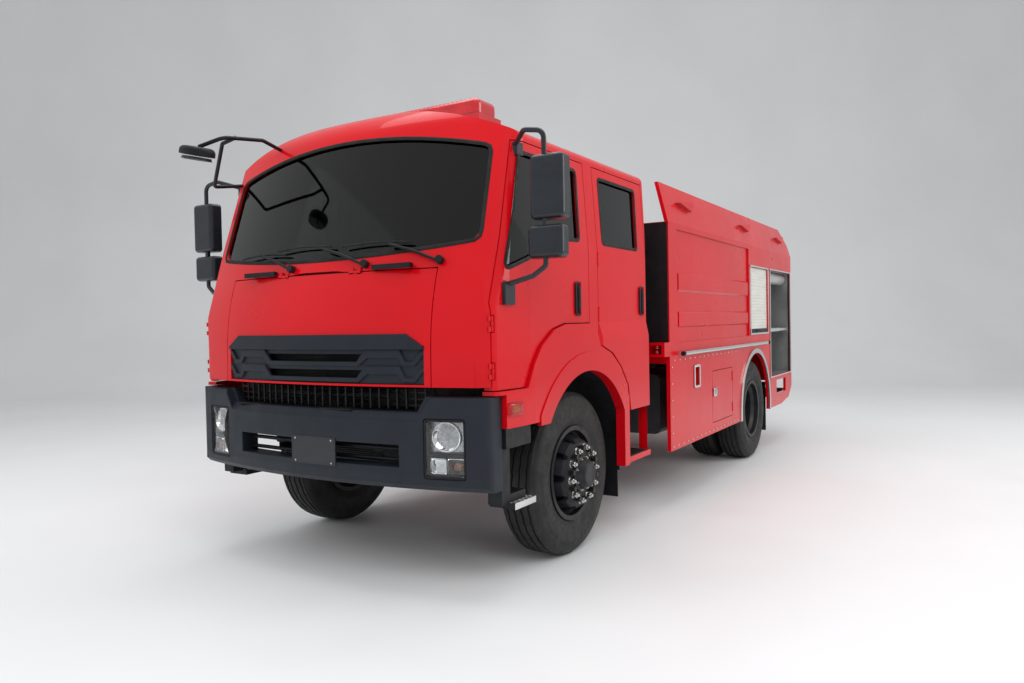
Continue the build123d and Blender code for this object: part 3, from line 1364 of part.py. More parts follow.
ON_CENTRE = [
    chassis_frame, leaf_springs, front_axle_beam, rear_axle, propeller_shaft, engine, fuel_tank,
    tie_rod, cab_shell, windscreen, front_flap, grille, front_bumper, headlamps, front_fenders,
    cab_steps, front_liners, dashboard, seats, wipers, grab_handles, look_down_mirror, light_bar,
    gap_panel, body_shell, body_lock, water_tank, top_wings, skirts, shutters, polished_trim,
    locker_shelf, delivery_valve, mudflaps, rear_bumper, rear_lamps,
]
ON_EACH_SIDE = {
    "front_door": front_door,
    "front_door_glass": front_door_glass,
    "rear_door": rear_door_with_band,
    "rear_door_glass": rear_door_glass,
    "door_mirror": door_mirror,
    "skirt_door": skirt_door,
    "knuckle": steering_knuckle,
    "front_wheel": front_wheel,
    "front_tyre": front_tyre,
    "rear_wheels": rear_wheels,
    "rear_tyres": rear_tyres,
}


def main():
    """Writes one file per piece, with the origin under the middle of the truck's box."""
    os.makedirs("parts", exist_ok=True)
    to_middle = Pos(0, (MIRROR_REACH - REAR_END) / 2, 0)
    nodes = {maker.__name__: maker() for maker in ON_CENTRE}
    for name, maker in ON_EACH_SIDE.items():
        nodes.update(left_and_right(name, maker))
    for name, shape in nodes.items():
        export_step(to_middle * shape, f"parts/{name}.step")


if __name__ == "__main__":
    main()
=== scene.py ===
"""Finish of the airport fire truck: its paint, glass, rubber, lamps and fittings.

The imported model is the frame. Points are written in metres with Y = 0 on the front axle,
the front towards -Y, +X to the vehicle's left and Z = 0 on the ground, and every piece is
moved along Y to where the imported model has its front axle.
"""
import math

import bmesh
import bpy
import numpy as np
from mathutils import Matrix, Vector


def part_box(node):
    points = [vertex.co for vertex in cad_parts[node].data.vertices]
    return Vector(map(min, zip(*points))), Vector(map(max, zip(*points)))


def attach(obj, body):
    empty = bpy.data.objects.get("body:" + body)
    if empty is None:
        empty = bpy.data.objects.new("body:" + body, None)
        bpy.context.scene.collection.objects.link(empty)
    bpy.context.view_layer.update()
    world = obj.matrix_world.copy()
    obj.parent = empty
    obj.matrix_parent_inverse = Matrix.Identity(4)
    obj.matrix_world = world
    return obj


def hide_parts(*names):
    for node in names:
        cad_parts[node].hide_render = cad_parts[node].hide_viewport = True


bl_info = {
    "name": "Fire truck finish",
    "version": (1, 0, 0),
    "blender": (4, 5, 0),
    "location": "3D View > Sidebar > Fire truck",
    "description": "Dresses the packed fire truck with its finishes, lamps, tyres and fittings",
    "category": "Add Mesh",
}

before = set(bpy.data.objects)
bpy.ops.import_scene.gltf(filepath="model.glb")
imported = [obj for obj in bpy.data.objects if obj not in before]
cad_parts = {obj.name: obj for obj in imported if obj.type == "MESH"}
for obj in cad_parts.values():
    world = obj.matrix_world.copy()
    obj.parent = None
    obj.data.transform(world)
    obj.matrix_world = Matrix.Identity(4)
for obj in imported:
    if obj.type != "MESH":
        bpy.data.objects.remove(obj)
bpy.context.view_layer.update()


def middle_of(node):
    """The middle of a node's box."""
    low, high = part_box(node)
    return (low + high) / 2


AXLE_Y = middle_of("front_tyre_left").y
WHEELBASE = middle_of("rear_tyres_left").y - AXLE_Y
TYRE_RADIUS = middle_of("front_tyre_left").z
FRONT_TYRE_X = middle_of("front_tyre_left").x
BODY_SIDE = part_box("skirt_door_left")[1].x
TWIN_SPACING = 0.315
REAR_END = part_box("body_shell")[1].y - AXLE_Y
SIDES = ((1, "left"), (-1, "right"))


# Settings

class TruckSizes(bpy.types.PropertyGroup):
    """Sizes that a user may change."""

    groove_depth: bpy.props.FloatProperty(
        name="Groove depth", description="Depth of the tyres' grooves",
        default=0.013, unit="LENGTH")
    seal_width: bpy.props.FloatProperty(
        name="Seal width", description="Width of the rubber seals round the windows",
        default=0.022, unit="LENGTH")
    nut_radius: bpy.props.FloatProperty(
        name="Wheel nut radius", description="Half the width of a wheel nut over its corners",
        default=0.0195, unit="LENGTH")
    slat_height: bpy.props.FloatProperty(
        name="Shutter slat", description="Height of one slat of the locker shutters",
        default=0.034, unit="LENGTH")


class TruckColours(bpy.types.PropertyGroup):
    """Colours that a user may change."""

    paint: bpy.props.FloatVectorProperty(
        name="Paint", description="Colour of the painted panels",
        default=(0.56, 0.001, 0.006), subtype="COLOR", size=3, min=0, max=1)
    plastic: bpy.props.FloatVectorProperty(
        name="Bumper plastic", description="Colour of the bumper and the grille",
        default=(0.011, 0.015, 0.022), subtype="COLOR", size=3, min=0, max=1)
    lens: bpy.props.FloatVectorProperty(
        name="Light bar lens", description="Colour of the light bar's cover",
        default=(0.75, 0.01, 0.02), subtype="COLOR", size=3, min=0, max=1)
    seat_cloth: bpy.props.FloatVectorProperty(
        name="Seat cloth", description="Colour of the seats' cloth",
        default=(0.05, 0.055, 0.065), subtype="COLOR", size=3, min=0, max=1)


def sizes():
    """The sizes in use."""
    return bpy.context.scene.truck_sizes


def colours():
    """The colours in use."""
    return bpy.context.scene.truck_colours


# Surfaces

def grid(points, around=False, lids=True):
    """Faces over an array of points, rows by columns by 3.

    Neighbours in the array are joined by four-sided faces. With around, each row closes on
    itself, and lids fill the first and the last row with a fan about the row's middle.
    """
    points = np.asarray(points, float)
    rows, columns = points.shape[:2]
    index = np.arange(rows * columns).reshape(rows, columns)
    if around:
        index = np.concatenate([index, index[:, :1]], axis=1)
    quads = np.stack([index[:-1, :-1], index[:-1, 1:], index[1:, 1:], index[1:, :-1]], axis=-1)
    vertices = points.reshape(-1, 3)
    faces = quads.reshape(-1, 4).tolist()
    if around and lids:
        middles = points[[0, -1]].mean(axis=1)
        first, last = len(vertices), len(vertices) + 1
        vertices = np.concatenate([vertices, middles])
        ring = index[0]
        faces += np.stack([np.full(columns, first), ring[1:], ring[:-1]], axis=-1).tolist()
        ring = index[-1]
        faces += np.stack([np.full(columns, last), ring[:-1], ring[1:]], axis=-1).tolist()
    return vertices, faces


def ring_grid(points):
    """A grid that closes on itself both ways, such as a hoop."""
    points = np.asarray(points, float)
    closed = np.concatenate([points, points[:1]])
    return grid(closed, around=True, lids=False)


def joined(forms):
    """Several forms as one."""
    vertices, faces, start = [], [], 0
    for part_vertices, part_faces in forms:
        vertices.append(part_vertices)
        faces += [[corner + start for corner in face] for face in part_faces]
        start += len(part_vertices)
    return np.concatenate(vertices), faces


def moved(form, offset=(0, 0, 0), turn=None):
    """A form turned by a 3 by 3 array and then moved."""
    vertices, faces = form
    if turn is not None:
        vertices = vertices @ np.asarray(turn).T
    return vertices + np.asarray(offset, float), faces


def other_side(form):
    """The mirror image across the centre plane, its faces still outward."""
    vertices, faces = form
    return vertices * (-1, 1, 1), [face[::-1] for face in faces]


def on_its_side(forms, sign):
    """Forms as they are for the left side, or mirrored for the right."""
    return forms if sign > 0 else [other_side(form) for form in forms]


def turn_about(axis, degrees):
    """The 3 by 3 array of a turn about X, Y or Z."""
    c, s = math.cos(math.radians(degrees)), math.sin(math.radians(degrees))
    return {
        "X": [[1, 0, 0], [0, c, -s], [0, s, c]],
        "Y": [[c, 0, s], [0, 1, 0], [-s, 0, c]],
        "Z": [[c, -s, 0], [s, c, 0], [0, 0, 1]],
    }[axis]


def lathe(profile, count):
    """A form turned about X. Its profile is rows of place along X and radius.

    Each profile point goes round a circle of its own radius in the plane across X.
    """
    profile = np.asarray(profile, float)
    angle = np.arange(count) * 2 * math.pi / count
    across = profile[:, :1] + 0 * angle
    return grid(np.stack([
        across, profile[:, 1:] * np.cos(angle), profile[:, 1:] * np.sin(angle)], axis=-1),
        around=True)


def rounded_path(corners, radius, steps=8):
    """Straight runs whose corners are rounded by arcs of one radius."""
    corners = np.asarray(corners, float)
    path = [corners[:1]]
    for before, corner, after in zip(corners, corners[1:], corners[2:]):
        back = (before - corner) / np.linalg.norm(before - corner)
        on = (after - corner) / np.linalg.norm(after - corner)
        half = math.acos(np.clip(back @ on, -1, 1)) / 2
        reach = min(radius / math.tan(half), np.linalg.norm(before - corner) / 2,
                    np.linalg.norm(after - corner) / 2)
        t = np.linspace(0, 1, steps)[:, None]
        start, end = corner + back * reach, corner + on * reach
        path.append((1 - t) ** 2 * start + 2 * t * (1 - t) * corner + t ** 2 * end)
    path.append(corners[-1:])
    return np.concatenate(path)


def tube(path, radius, sides=12, closed=False):
    """A round bar along a path: a circle carried across the path's direction at each point."""
    path = np.asarray(path, float)
    if closed:
        way = np.roll(path, -1, axis=0) - np.roll(path, 1, axis=0)
    else:
        way = np.gradient(path, axis=0)
    way /= np.linalg.norm(way, axis=1, keepdims=True)
    spread = np.ptp(path, axis=0)
    helper = np.eye(3)[np.argmin(spread)]
    first = np.cross(way, helper)
    first /= np.linalg.norm(first, axis=1, keepdims=True)
    second = np.cross(first, way)
    angle = np.arange(sides) * 2 * math.pi / sides
    points = path[:, None] + radius * (
        first[:, None] * np.cos(angle)[:, None] + second[:, None] * np.sin(angle)[:, None])
    points = points[:, ::-1]
    return ring_grid(points) if closed else grid(points, around=True)


def block(low, high, radius, steps=4):
    """A box with rounded edges.

    A small sphere is cut into eight parts, and each part is moved out to one corner of the
    box, so that flats lie between them.
    """
    low, high = np.minimum(low, high), np.maximum(low, high)
    middle, half = (low + high) / 2, (high - low) / 2
    radius = min(radius, half.min() * 0.999)
    quarter = np.linspace(0, math.pi / 2, steps)
    up = np.concatenate([quarter - math.pi / 2, quarter])
    up_sign = np.repeat([-1, 1], steps)
    round_angle = np.concatenate([quarter + n * math.pi / 2 for n in range(4)])
    x_sign, y_sign = np.repeat([1, -1, -1, 1], steps), np.repeat([1, 1, -1, -1], steps)
    ball = np.stack([
        np.cos(up)[:, None] * np.cos(round_angle), np.cos(up)[:, None] * np.sin(round_angle),
        np.sin(up)[:, None] + 0 * round_angle], axis=-1)
    corner = np.stack([
        0 * up[:, None] + x_sign, 0 * up[:, None] + y_sign, up_sign[:, None] + 0 * round_angle],
        axis=-1)
    return grid(middle + corner * (half - radius) + ball * radius, around=True)


def layered(outline, rows, place):
    """A closed form from an outline, rows of an inset and a depth each.

    For each row the outline, points of two numbers, is drawn in by the inset, and the
    function place puts it into space at the depth. Neighbouring rows are joined.
    """
    outline = np.asarray(outline, float)
    way = np.roll(outline, -1, axis=0) - np.roll(outline, 1, axis=0)
    inward = np.stack([-way[:, 1], way[:, 0]], axis=-1)
    inward /= np.linalg.norm(inward, axis=1, keepdims=True)
    centre = outline.mean(axis=0)
    inward *= np.sign(((centre - outline) * inward).sum(axis=1))[:, None]
    return grid(np.stack([place(outline + inward * i, d) for i, d in rows]), around=True)


def strip_outline(width, height, steps=40):
    """A wide rectangle about the origin whose long sides are cut into short runs."""
    across = np.linspace(-width / 2, width / 2, steps)
    top = np.stack([across, np.full(steps, height / 2)], axis=-1)
    return np.concatenate([top, top[::-1] * (1, -1)])


def disc_outline(radius, count=40):
    """A circle about the origin, as points of two numbers."""
    angle = np.arange(count) * 2 * math.pi / count
    return np.stack([radius * np.cos(angle), radius * np.sin(angle)], axis=-1)


def pad_outline(width, height, radius, steps=6):
    """A rectangle with rounded corners about the origin, as points of two numbers."""
    angle = np.linspace(0, math.pi / 2, steps)
    corner = np.stack([np.cos(angle), np.sin(angle)], axis=-1) * radius
    quarters = []
    for n, (sx, sy) in enumerate(((1, 1), (-1, 1), (-1, -1), (1, -1))):
        c, s = math.cos(n * math.pi / 2), math.sin(n * math.pi / 2)
        turned = corner @ np.array([[c, s], [-s, c]])
        quarters.append(turned + (sx * (width / 2 - radius), sy * (height / 2 - radius)))
    return np.concatenate(quarters)


def spaced(path, count):
    """Points at equal steps round a closed path."""
    path = np.concatenate([path, path[:1]])
    run = np.concatenate([[0], np.cumsum(np.linalg.norm(np.diff(path, axis=0), axis=1))])
    at = np.linspace(0, run[-1], count, endpoint=False)
    return np.stack([np.interp(at, run, path[:, n]) for n in range(path.shape[1])], axis=-1)


# The cab's own surfaces

NOSE_AXIS_Y = 3.172
NOSE_REACH = 4.387
KNEE_HEIGHT = 1.558
SCREEN_LEAN = 0.31
CAB_SIDE = 1.178
BELT = 1.95
BELT_LEAN = 0.0667
CORNER_START_Y = -0.48
CORNER_RUN = 0.808
CORNER_TURN_IN = 0.075
BUMPER_AXIS_Y = 3.18
BUMPER_REACH = 4.42
RAIL_HEIGHT = 1.222
MARKER_PLACES = (1.85, 3.70, 5.25)


def nose_y(across, height):
    """Y of the cab's front: a wide arc about an upright axis, leaning back above the knee."""
    reach = NOSE_REACH - np.maximum(0, height - KNEE_HEIGHT) * SCREEN_LEAN
    return NOSE_AXIS_Y - np.sqrt(reach ** 2 - across ** 2)


def cab_x(y, height):
    """X of the cab's left side: upright, leaning in above the belt, turning in at the front."""
    lean = np.maximum(0, height - BELT) * BELT_LEAN
    turned_in = CORNER_TURN_IN * ((CORNER_START_Y - y) / CORNER_RUN) ** 2
    turn = np.where(y < CORNER_START_Y, CAB_SIDE + 0.005 - turned_in, CAB_SIDE)
    return np.minimum(CAB_SIDE - lean, turn)


def on_front(points, depth):
    """Points of X and Z laid on the cab's front, a depth out from it."""
    across, height = points[:, 0], points[:, 1]
    return np.stack([across, nose_y(across, height) - depth, height + 0 * across], axis=-1)


def on_side(points, depth):
    """Points of Y and Z laid on the cab's left side, a depth out from it."""
    y, height = points[:, 0], points[:, 1]
    return np.stack([cab_x(y, height) + depth, y, height], axis=-1)


def bumper_y(across):
    """Y of the bumper's face: an arc about an upright axis."""
    return BUMPER_AXIS_Y - np.sqrt(BUMPER_REACH ** 2 - across ** 2)


def on_bumper(points, depth):
    """Points of X and Z laid on the bumper's face, a depth out from it."""
    across, height = points[:, 0], points[:, 1]
    return np.stack([across, bumper_y(across) - depth, height], axis=-1)


def facing_back(y):
    """A function that puts points of X and Z on a plane that faces backward."""
    return lambda points, depth: np.stack([
        points[:, 0], y + depth + 0 * points[:, 0], points[:, 1]], axis=-1)


def ribbon(path, width, rise, place):
    """A raised band round a closed path: a low arch of six points carried across the path.

    The path is points of two numbers; place puts points and a depth into space.
    """
    way = np.roll(path, -1, axis=0) - np.roll(path, 1, axis=0)
    way /= np.linalg.norm(way, axis=1, keepdims=True)
    across = np.stack([-way[:, 1], way[:, 0]], axis=-1)
    shares = ((-0.5, -0.6), (-0.5, 0.5), (-0.3, 1), (0.3, 1), (0.5, 0.5), (0.5, -0.6))
    points = np.stack([place(path + across * width * s, rise * d) for s, d in shares], axis=1)
    return ring_grid(points)


# Pieces

def piece(name, forms, finish, body, smooth=40):
    """One mesh from forms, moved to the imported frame, with its finish, on its body."""
    vertices, faces = joined(forms if isinstance(forms, list) else [forms])
    vertices = vertices + (0, AXLE_Y, 0)
    mesh = bpy.data.meshes.new(name)
    mesh.from_pydata(vertices.tolist(), [], faces)
    mesh.validate()
    obj = bpy.data.objects.new(name, mesh)
    bpy.context.scene.collection.objects.link(obj)
    face_outwards(mesh)
    mesh.polygons.foreach_set("use_smooth", np.ones(len(mesh.polygons), bool))
    mesh.set_sharp_from_angle(angle=math.radians(smooth))
    mesh.materials.append(finish)
    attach(obj, body)
    return obj


def face_outwards(mesh):
    """Merges the doubled points of poles and seams, and turns all faces outward."""
    work = bmesh.new()
    work.from_mesh(mesh)
    bmesh.ops.remove_doubles(work, verts=work.verts, dist=1e-5)
    bmesh.ops.recalc_face_normals(work, faces=work.faces)
    work.to_mesh(mesh)
    work.free()


def dress(finish, *nodes):
    """Gives CAD nodes a finish."""
    for name in nodes:
        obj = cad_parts[name]
        if not obj.material_slots:
            obj.data.materials.append(finish)
        for material_slot in obj.material_slots:
            material_slot.material = finish


# Finishes

class Finish:
    """A material under construction: a shader with helpers that add its detail."""

    def __init__(self, name, colour, roughness, metal=0.0):
        self.name = name
        self.material = bpy.data.materials.new(name)
        self.material.use_nodes = True
        self.nodes = self.material.node_tree.nodes
        self.shader = self.nodes["Principled BSDF"]
        self.place = self.node("ShaderNodeTexCoord").outputs["Object"]
        self.normal = None
        self.colour = (*colour, 1)
        self.set("Base Color", self.colour)
        self.set("Roughness", roughness)
        self.set("Metallic", metal)
        self.material.diffuse_color = self.colour

    def node(self, kind, **inputs):
        """A new node with its inputs set or linked."""
        made = self.nodes.new(kind)
        for key, value in inputs.items():
            self.join(value, made.inputs[key.replace("_", " ")])
        return made

    def join(self, value, socket):
        """Sets a socket to a value, or links it."""
        if isinstance(value, bpy.types.NodeSocket):
            self.material.node_tree.links.new(value, socket)
        else:
            socket.default_value = value

    def set(self, socket, value):
        """Sets or links a socket of the shader."""
        self.join(value, self.shader.inputs[socket])
        return self

    def noise(self, scale, detail=3.0, stretch=(1, 1, 1)):
        """A noise of a size, stretched along the axes."""
        turned = self.node("ShaderNodeMapping", Vector=self.place, Scale=stretch)
        return self.node("ShaderNodeTexNoise", Vector=turned.outputs[0], Scale=scale,
                         Detail=detail).outputs["Fac"]

    def between(self, share, low, high):
        """A number that goes from low to high as the share goes over its middle range."""
        made = self.node("ShaderNodeMapRange", Value=share)
        made.interpolation_type = "SMOOTHSTEP"
        made.inputs["From Min"].default_value = 0.2
        made.inputs["From Max"].default_value = 0.8
        made.inputs["To Min"].default_value = low
        made.inputs["To Max"].default_value = high
        return made.outputs[0]

    def mottled(self, scale, dark=0.85, light=1.1, detail=3.0, stretch=(1, 1, 1)):
        """Lets the colour vary in patches."""
        mix = self.node("ShaderNodeMix")
        mix.data_type = "RGBA"
        share = self.between(self.noise(scale, detail, stretch), 0.0, 1.0)
        self.join(share, mix.inputs[0])
        mix.inputs[6].default_value = (*[c * dark for c in self.colour[:3]], 1)
        mix.inputs[7].default_value = (*[min(1, c * light) for c in self.colour[:3]], 1)
        return self.set("Base Color", mix.outputs[2])

    def uneven(self, scale, low, high, stretch=(1, 1, 1)):
        """Lets the roughness vary in patches."""
        return self.set("Roughness", self.between(self.noise(scale, 4.0, stretch), low, high))

    def soft_edges(self, radius):
        """Rounds the look of the sharp edges of pressed or moulded panels."""
        bevel = self.node("ShaderNodeBevel", Radius=radius)
        bevel.samples = 4
        self.normal = bevel.outputs[0]
        return self.set("Normal", self.normal)

    def bumps(self, height, depth, strength=1.0):
        """Adds small relief from a height between 0 and 1."""
        bump = self.node("ShaderNodeBump", Height=height, Distance=depth, Strength=strength)
        if self.normal is not None:
            self.join(self.normal, bump.inputs["Normal"])
        self.normal = bump.outputs[0]
        return self.set("Normal", self.normal)

    def clear_coat(self, weight=1.0, roughness=0.03):
        """Adds a clear lacquer."""
        return self.set("Coat Weight", weight).set("Coat Roughness", roughness)


FINISHES = {}


def paint_finish():
    """The red paint under its clear lacquer."""
    paint = Finish("red_paint", colours().paint, 0.32)
    paint.mottled(1.3, 0.93, 1.04)
    paint.uneven(3.0, 0.26, 0.36).clear_coat(0.4, 0.02).set("Specular IOR Level", 0.15)
    return (paint,)


def plastic_finishes():
    """The moulded plastics, grained and a little uneven."""
    plastic = Finish("bumper_plastic", colours().plastic, 0.5)
    plastic.mottled(6.0, 0.9, 1.12).soft_edges(0.012)
    plastic.bumps(plastic.noise(900.0, 2.0), 0.0004, 0.25).uneven(9.0, 0.42, 0.55)
    black = Finish("black_plastic", (0.007, 0.0075, 0.009), 0.5)
    black.mottled(14.0, 0.7, 1.35).soft_edges(0.004)
    black.bumps(black.noise(1100.0, 2.0), 0.0003, 0.25).uneven(20.0, 0.38, 0.58)
    gloss = Finish("mirror_shell_plastic", (0.014, 0.017, 0.022), 0.3)
    gloss.mottled(10.0, 0.85, 1.2).bumps(gloss.noise(700.0, 2.0), 0.0002, 0.15)
    gloss.uneven(6.0, 0.24, 0.36).clear_coat(0.25, 0.15)
    tank = Finish("tank_plastic", (0.03, 0.032, 0.035), 0.55)
    tank.mottled(7.0, 0.8, 1.3).bumps(tank.noise(200.0, 3.0), 0.0005, 0.2)
    dash = Finish("dashboard_vinyl", (0.035, 0.037, 0.042), 0.6)
    dash.mottled(20.0, 0.85, 1.15).soft_edges(0.006).bumps(dash.noise(600.0, 3.0), 0.0005, 0.3)
    return plastic, black, gloss, tank, dash


def glass_finishes():
    """The tinted glass, the lamp covers and the lenses."""
    screen = Finish("tinted_glass", (0.035, 0.040, 0.040), 0.0)
    screen.set("Transmission Weight", 1.0).set("IOR", 1.45)
    screen.uneven(2.0, 0.0, 0.03)
    clear = Finish("lamp_cover", (0.97, 0.98, 0.98), 0.0)
    clear.set("Transmission Weight", 1.0).set("IOR", 1.4)
    clear.bumps(clear.noise(60.0), 0.0005, 0.1)
    amber = Finish("amber_cover", (0.95, 0.30, 0.03), 0.1)
    amber.set("Transmission Weight", 0.6).bumps(amber.noise(90.0), 0.001, 0.4)
    red_lens = Finish("red_lens", colours().lens, 0.08)
    red_lens.set("Transmission Weight", 0.35).set("IOR", 1.49).mottled(5.0, 0.8, 1.1)
    red_lens.bumps(flutes(red_lens, 190.0), 0.0012, 0.5).clear_coat(0.6, 0.02)
    return screen, clear, amber, red_lens


def bright_finishes():
    """The mirrors, the polished steel, the bezels and the nuts."""
    chrome = Finish("lamp_mirror", (0.86, 0.87, 0.88), 0.09, 1.0)
    chrome.uneven(30.0, 0.05, 0.14).bumps(chrome.noise(40.0), 0.001, 0.2)
    bright = Finish("polished_steel", (0.74, 0.74, 0.73), 0.16, 1.0)
    bright.uneven(18.0, 0.10, 0.26, (1, 8, 1)).soft_edges(0.003)
    bright.bumps(bright.noise(240.0, 3.0, (1, 14, 1)), 0.0003, 0.12)
    steel = Finish("nut_steel", (0.62, 0.61, 0.58), 0.28, 1.0)
    steel.mottled(60.0, 0.8, 1.1).uneven(90.0, 0.2, 0.38)
    mirror = Finish("mirror_glass", (0.80, 0.82, 0.84), 0.02, 1.0)
    mirror.uneven(3.0, 0.01, 0.03)
    bezel = Finish("bezel_silver", (0.42, 0.43, 0.45), 0.3, 0.7)
    bezel.mottled(30.0, 0.85, 1.1).uneven(40.0, 0.22, 0.38)
    return chrome, bright, steel, mirror, bezel


def sheet_finishes():
    """The shutters, the locker sheet, the tread plate and the white valve."""
    alloy = Finish("shutter_aluminium", (0.70, 0.70, 0.69), 0.34, 0.85)
    alloy.mottled(3.0, 0.92, 1.05).uneven(12.0, 0.28, 0.42, (1, 1, 9)).soft_edges(0.002)
    lining = Finish("locker_sheet", (0.33, 0.34, 0.34), 0.42, 0.7)
    lining.mottled(4.0, 0.8, 1.15).uneven(15.0, 0.32, 0.52)
    lining.bumps(lining.noise(30.0, 3.0), 0.001, 0.15)
    tread = Finish("tread_plate", (0.55, 0.56, 0.57), 0.35, 0.9)
    tread.mottled(14.0, 0.75, 1.1).uneven(40.0, 0.25, 0.5).bumps(tread.noise(160.0), 0.0005, 0.2)
    cream = Finish("shutter_cream", (0.72, 0.71, 0.66), 0.38, 0.25)
    cream.mottled(3.0, 0.92, 1.05, 3.0, (1, 1, 5)).uneven(12.0, 0.3, 0.45, (1, 1, 9))
    white = Finish("valve_white", (0.80, 0.80, 0.78), 0.4)
    white.mottled(30.0, 0.85, 1.05).uneven(40.0, 0.3, 0.5)
    return alloy, lining, tread, cream, white


def rubber_finishes():
    """The rubber of the tyres and of the flaps."""
    rubber = Finish("tyre_rubber", (0.017, 0.0165, 0.016), 0.62)
    rubber.mottled(9.0, 0.8, 1.5).uneven(30.0, 0.5, 0.75)
    rubber.bumps(rubber.noise(420.0, 4.0), 0.0006, 0.35)
    flap = Finish("flap_rubber", (0.012, 0.012, 0.012), 0.68)
    flap.mottled(12.0, 0.7, 1.5).bumps(flap.noise(300.0, 3.0), 0.0006, 0.4).uneven(20.0, 0.55, 0.8)
    return rubber, flap


def running_gear_finishes():
    """The wheels, the chassis and the engine."""
    wheel = Finish("wheel_black", (0.014, 0.014, 0.016), 0.42, 0.1)
    wheel.mottled(16.0, 0.7, 1.5).soft_edges(0.003).uneven(24.0, 0.32, 0.5)
    wheel.bumps(wheel.noise(500.0, 3.0), 0.0003, 0.2)
    chassis = Finish("chassis_paint", (0.013, 0.014, 0.016), 0.5)
    chassis.mottled(5.0, 0.7, 1.6).soft_edges(0.003).uneven(14.0, 0.4, 0.65)
    chassis.bumps(chassis.noise(160.0, 4.0), 0.0006, 0.2)
    iron = Finish("engine_iron", (0.06, 0.06, 0.062), 0.6, 0.3)
    iron.mottled(18.0, 0.6, 1.4).bumps(iron.noise(120.0, 5.0), 0.002, 0.4).uneven(20.0, 0.45, 0.7)
    return wheel, chassis, iron


def cloth_finish():
    """The seats' woven cloth."""
    cloth = Finish("seat_cloth", colours().seat_cloth, 0.85)
    cloth.mottled(60.0, 0.7, 1.4).set("Sheen Weight", 0.3).bumps(weave(cloth), 0.0008, 0.6)
    return (cloth,)


DULL = ("bumper_plastic", "black_plastic", "mirror_shell_plastic", "tyre_rubber", "flap_rubber",
        "wheel_black", "chassis_paint", "tank_plastic", "dashboard_vinyl")


def make_finishes():
    """All the truck's finishes, by name. The dull ones reflect a little less."""
    makers = (paint_finish, plastic_finishes, glass_finishes, bright_finishes, sheet_finishes,
              rubber_finishes, running_gear_finishes, cloth_finish)
    for finish in [finish for maker in makers for finish in maker()]:
        if finish.name in DULL:
            finish.set("Specular IOR Level", 0.3)
        FINISHES[finish.name] = finish.material


def flutes(finish, count):
    """The upright flutes moulded inside a lens: a wave along X, with count ridges a metre."""
    wave = finish.node("ShaderNodeTexWave", Vector=finish.place, Scale=count / 20)
    wave.bands_direction = "X"
    return wave.outputs["Fac"]


def weave(finish):
    """The weave of a cloth: two waves across each other, one along X and one along Z."""
    one = finish.node("ShaderNodeTexWave", Vector=finish.place, Scale=55.0)
    two = finish.node("ShaderNodeTexWave", Vector=finish.place, Scale=55.0)
    one.bands_direction, two.bands_direction = "X", "Z"
    both = finish.node("ShaderNodeMath")
    both.operation = "MAXIMUM"
    finish.join(one.outputs["Fac"], both.inputs[0])
    finish.join(two.outputs["Fac"], both.inputs[1])
    return both.outputs[0]


class FIRETRUCK_OT_finishes(bpy.types.Operator):
    """Makes the truck's finishes and gives the CAD nodes theirs"""

    bl_idname = "fire_truck.finishes"
    bl_label = "Finishes"

    def execute(self, context):
        make_finishes()
        sided = ["_left", "_right"]
        f = FINISHES
        dress(f["red_paint"], "cab_shell", "front_flap", "front_fenders", "body_shell",
              "top_wings", "skirts", "body_lock",
              *[n + s for n in ("front_door", "rear_door", "skirt_door") for s in sided])
        dress(f["bumper_plastic"], "front_bumper", "grille")
        dress(f["black_plastic"], "cab_steps", "wipers", "grab_handles", "front_liners",
              "look_down_mirror", "gap_panel")
        dress(f["mirror_shell_plastic"], *["door_mirror" + s for s in sided])
        dress(f["tinted_glass"], "windscreen",
              *[n + s for n in ("front_door_glass", "rear_door_glass") for s in sided])
        dress(f["lamp_cover"], "headlamps")
        dress(f["red_lens"], "light_bar", "rear_lamps")
        dress(f["polished_steel"], "polished_trim", "delivery_valve")
        dress(f["shutter_aluminium"], "shutters", "locker_shelf")
        dress(f["tyre_rubber"], *[n + s for n in ("front_tyre", "rear_tyres") for s in sided])
        dress(f["flap_rubber"], "mudflaps")
        dress(f["wheel_black"], *[n + s for n in ("front_wheel", "rear_wheels") for s in sided])
        dress(f["chassis_paint"], "chassis_frame", "leaf_springs", "front_axle_beam", "rear_axle",
              "propeller_shaft", "tie_rod", "rear_bumper", *["knuckle" + s for s in sided])
        dress(f["engine_iron"], "engine")
        dress(f["tank_plastic"], "fuel_tank", "water_tank")
        dress(f["dashboard_vinyl"], "dashboard")
        dress(f["seat_cloth"], "seats")
        return {"FINISHED"}


# Wheels and tyres

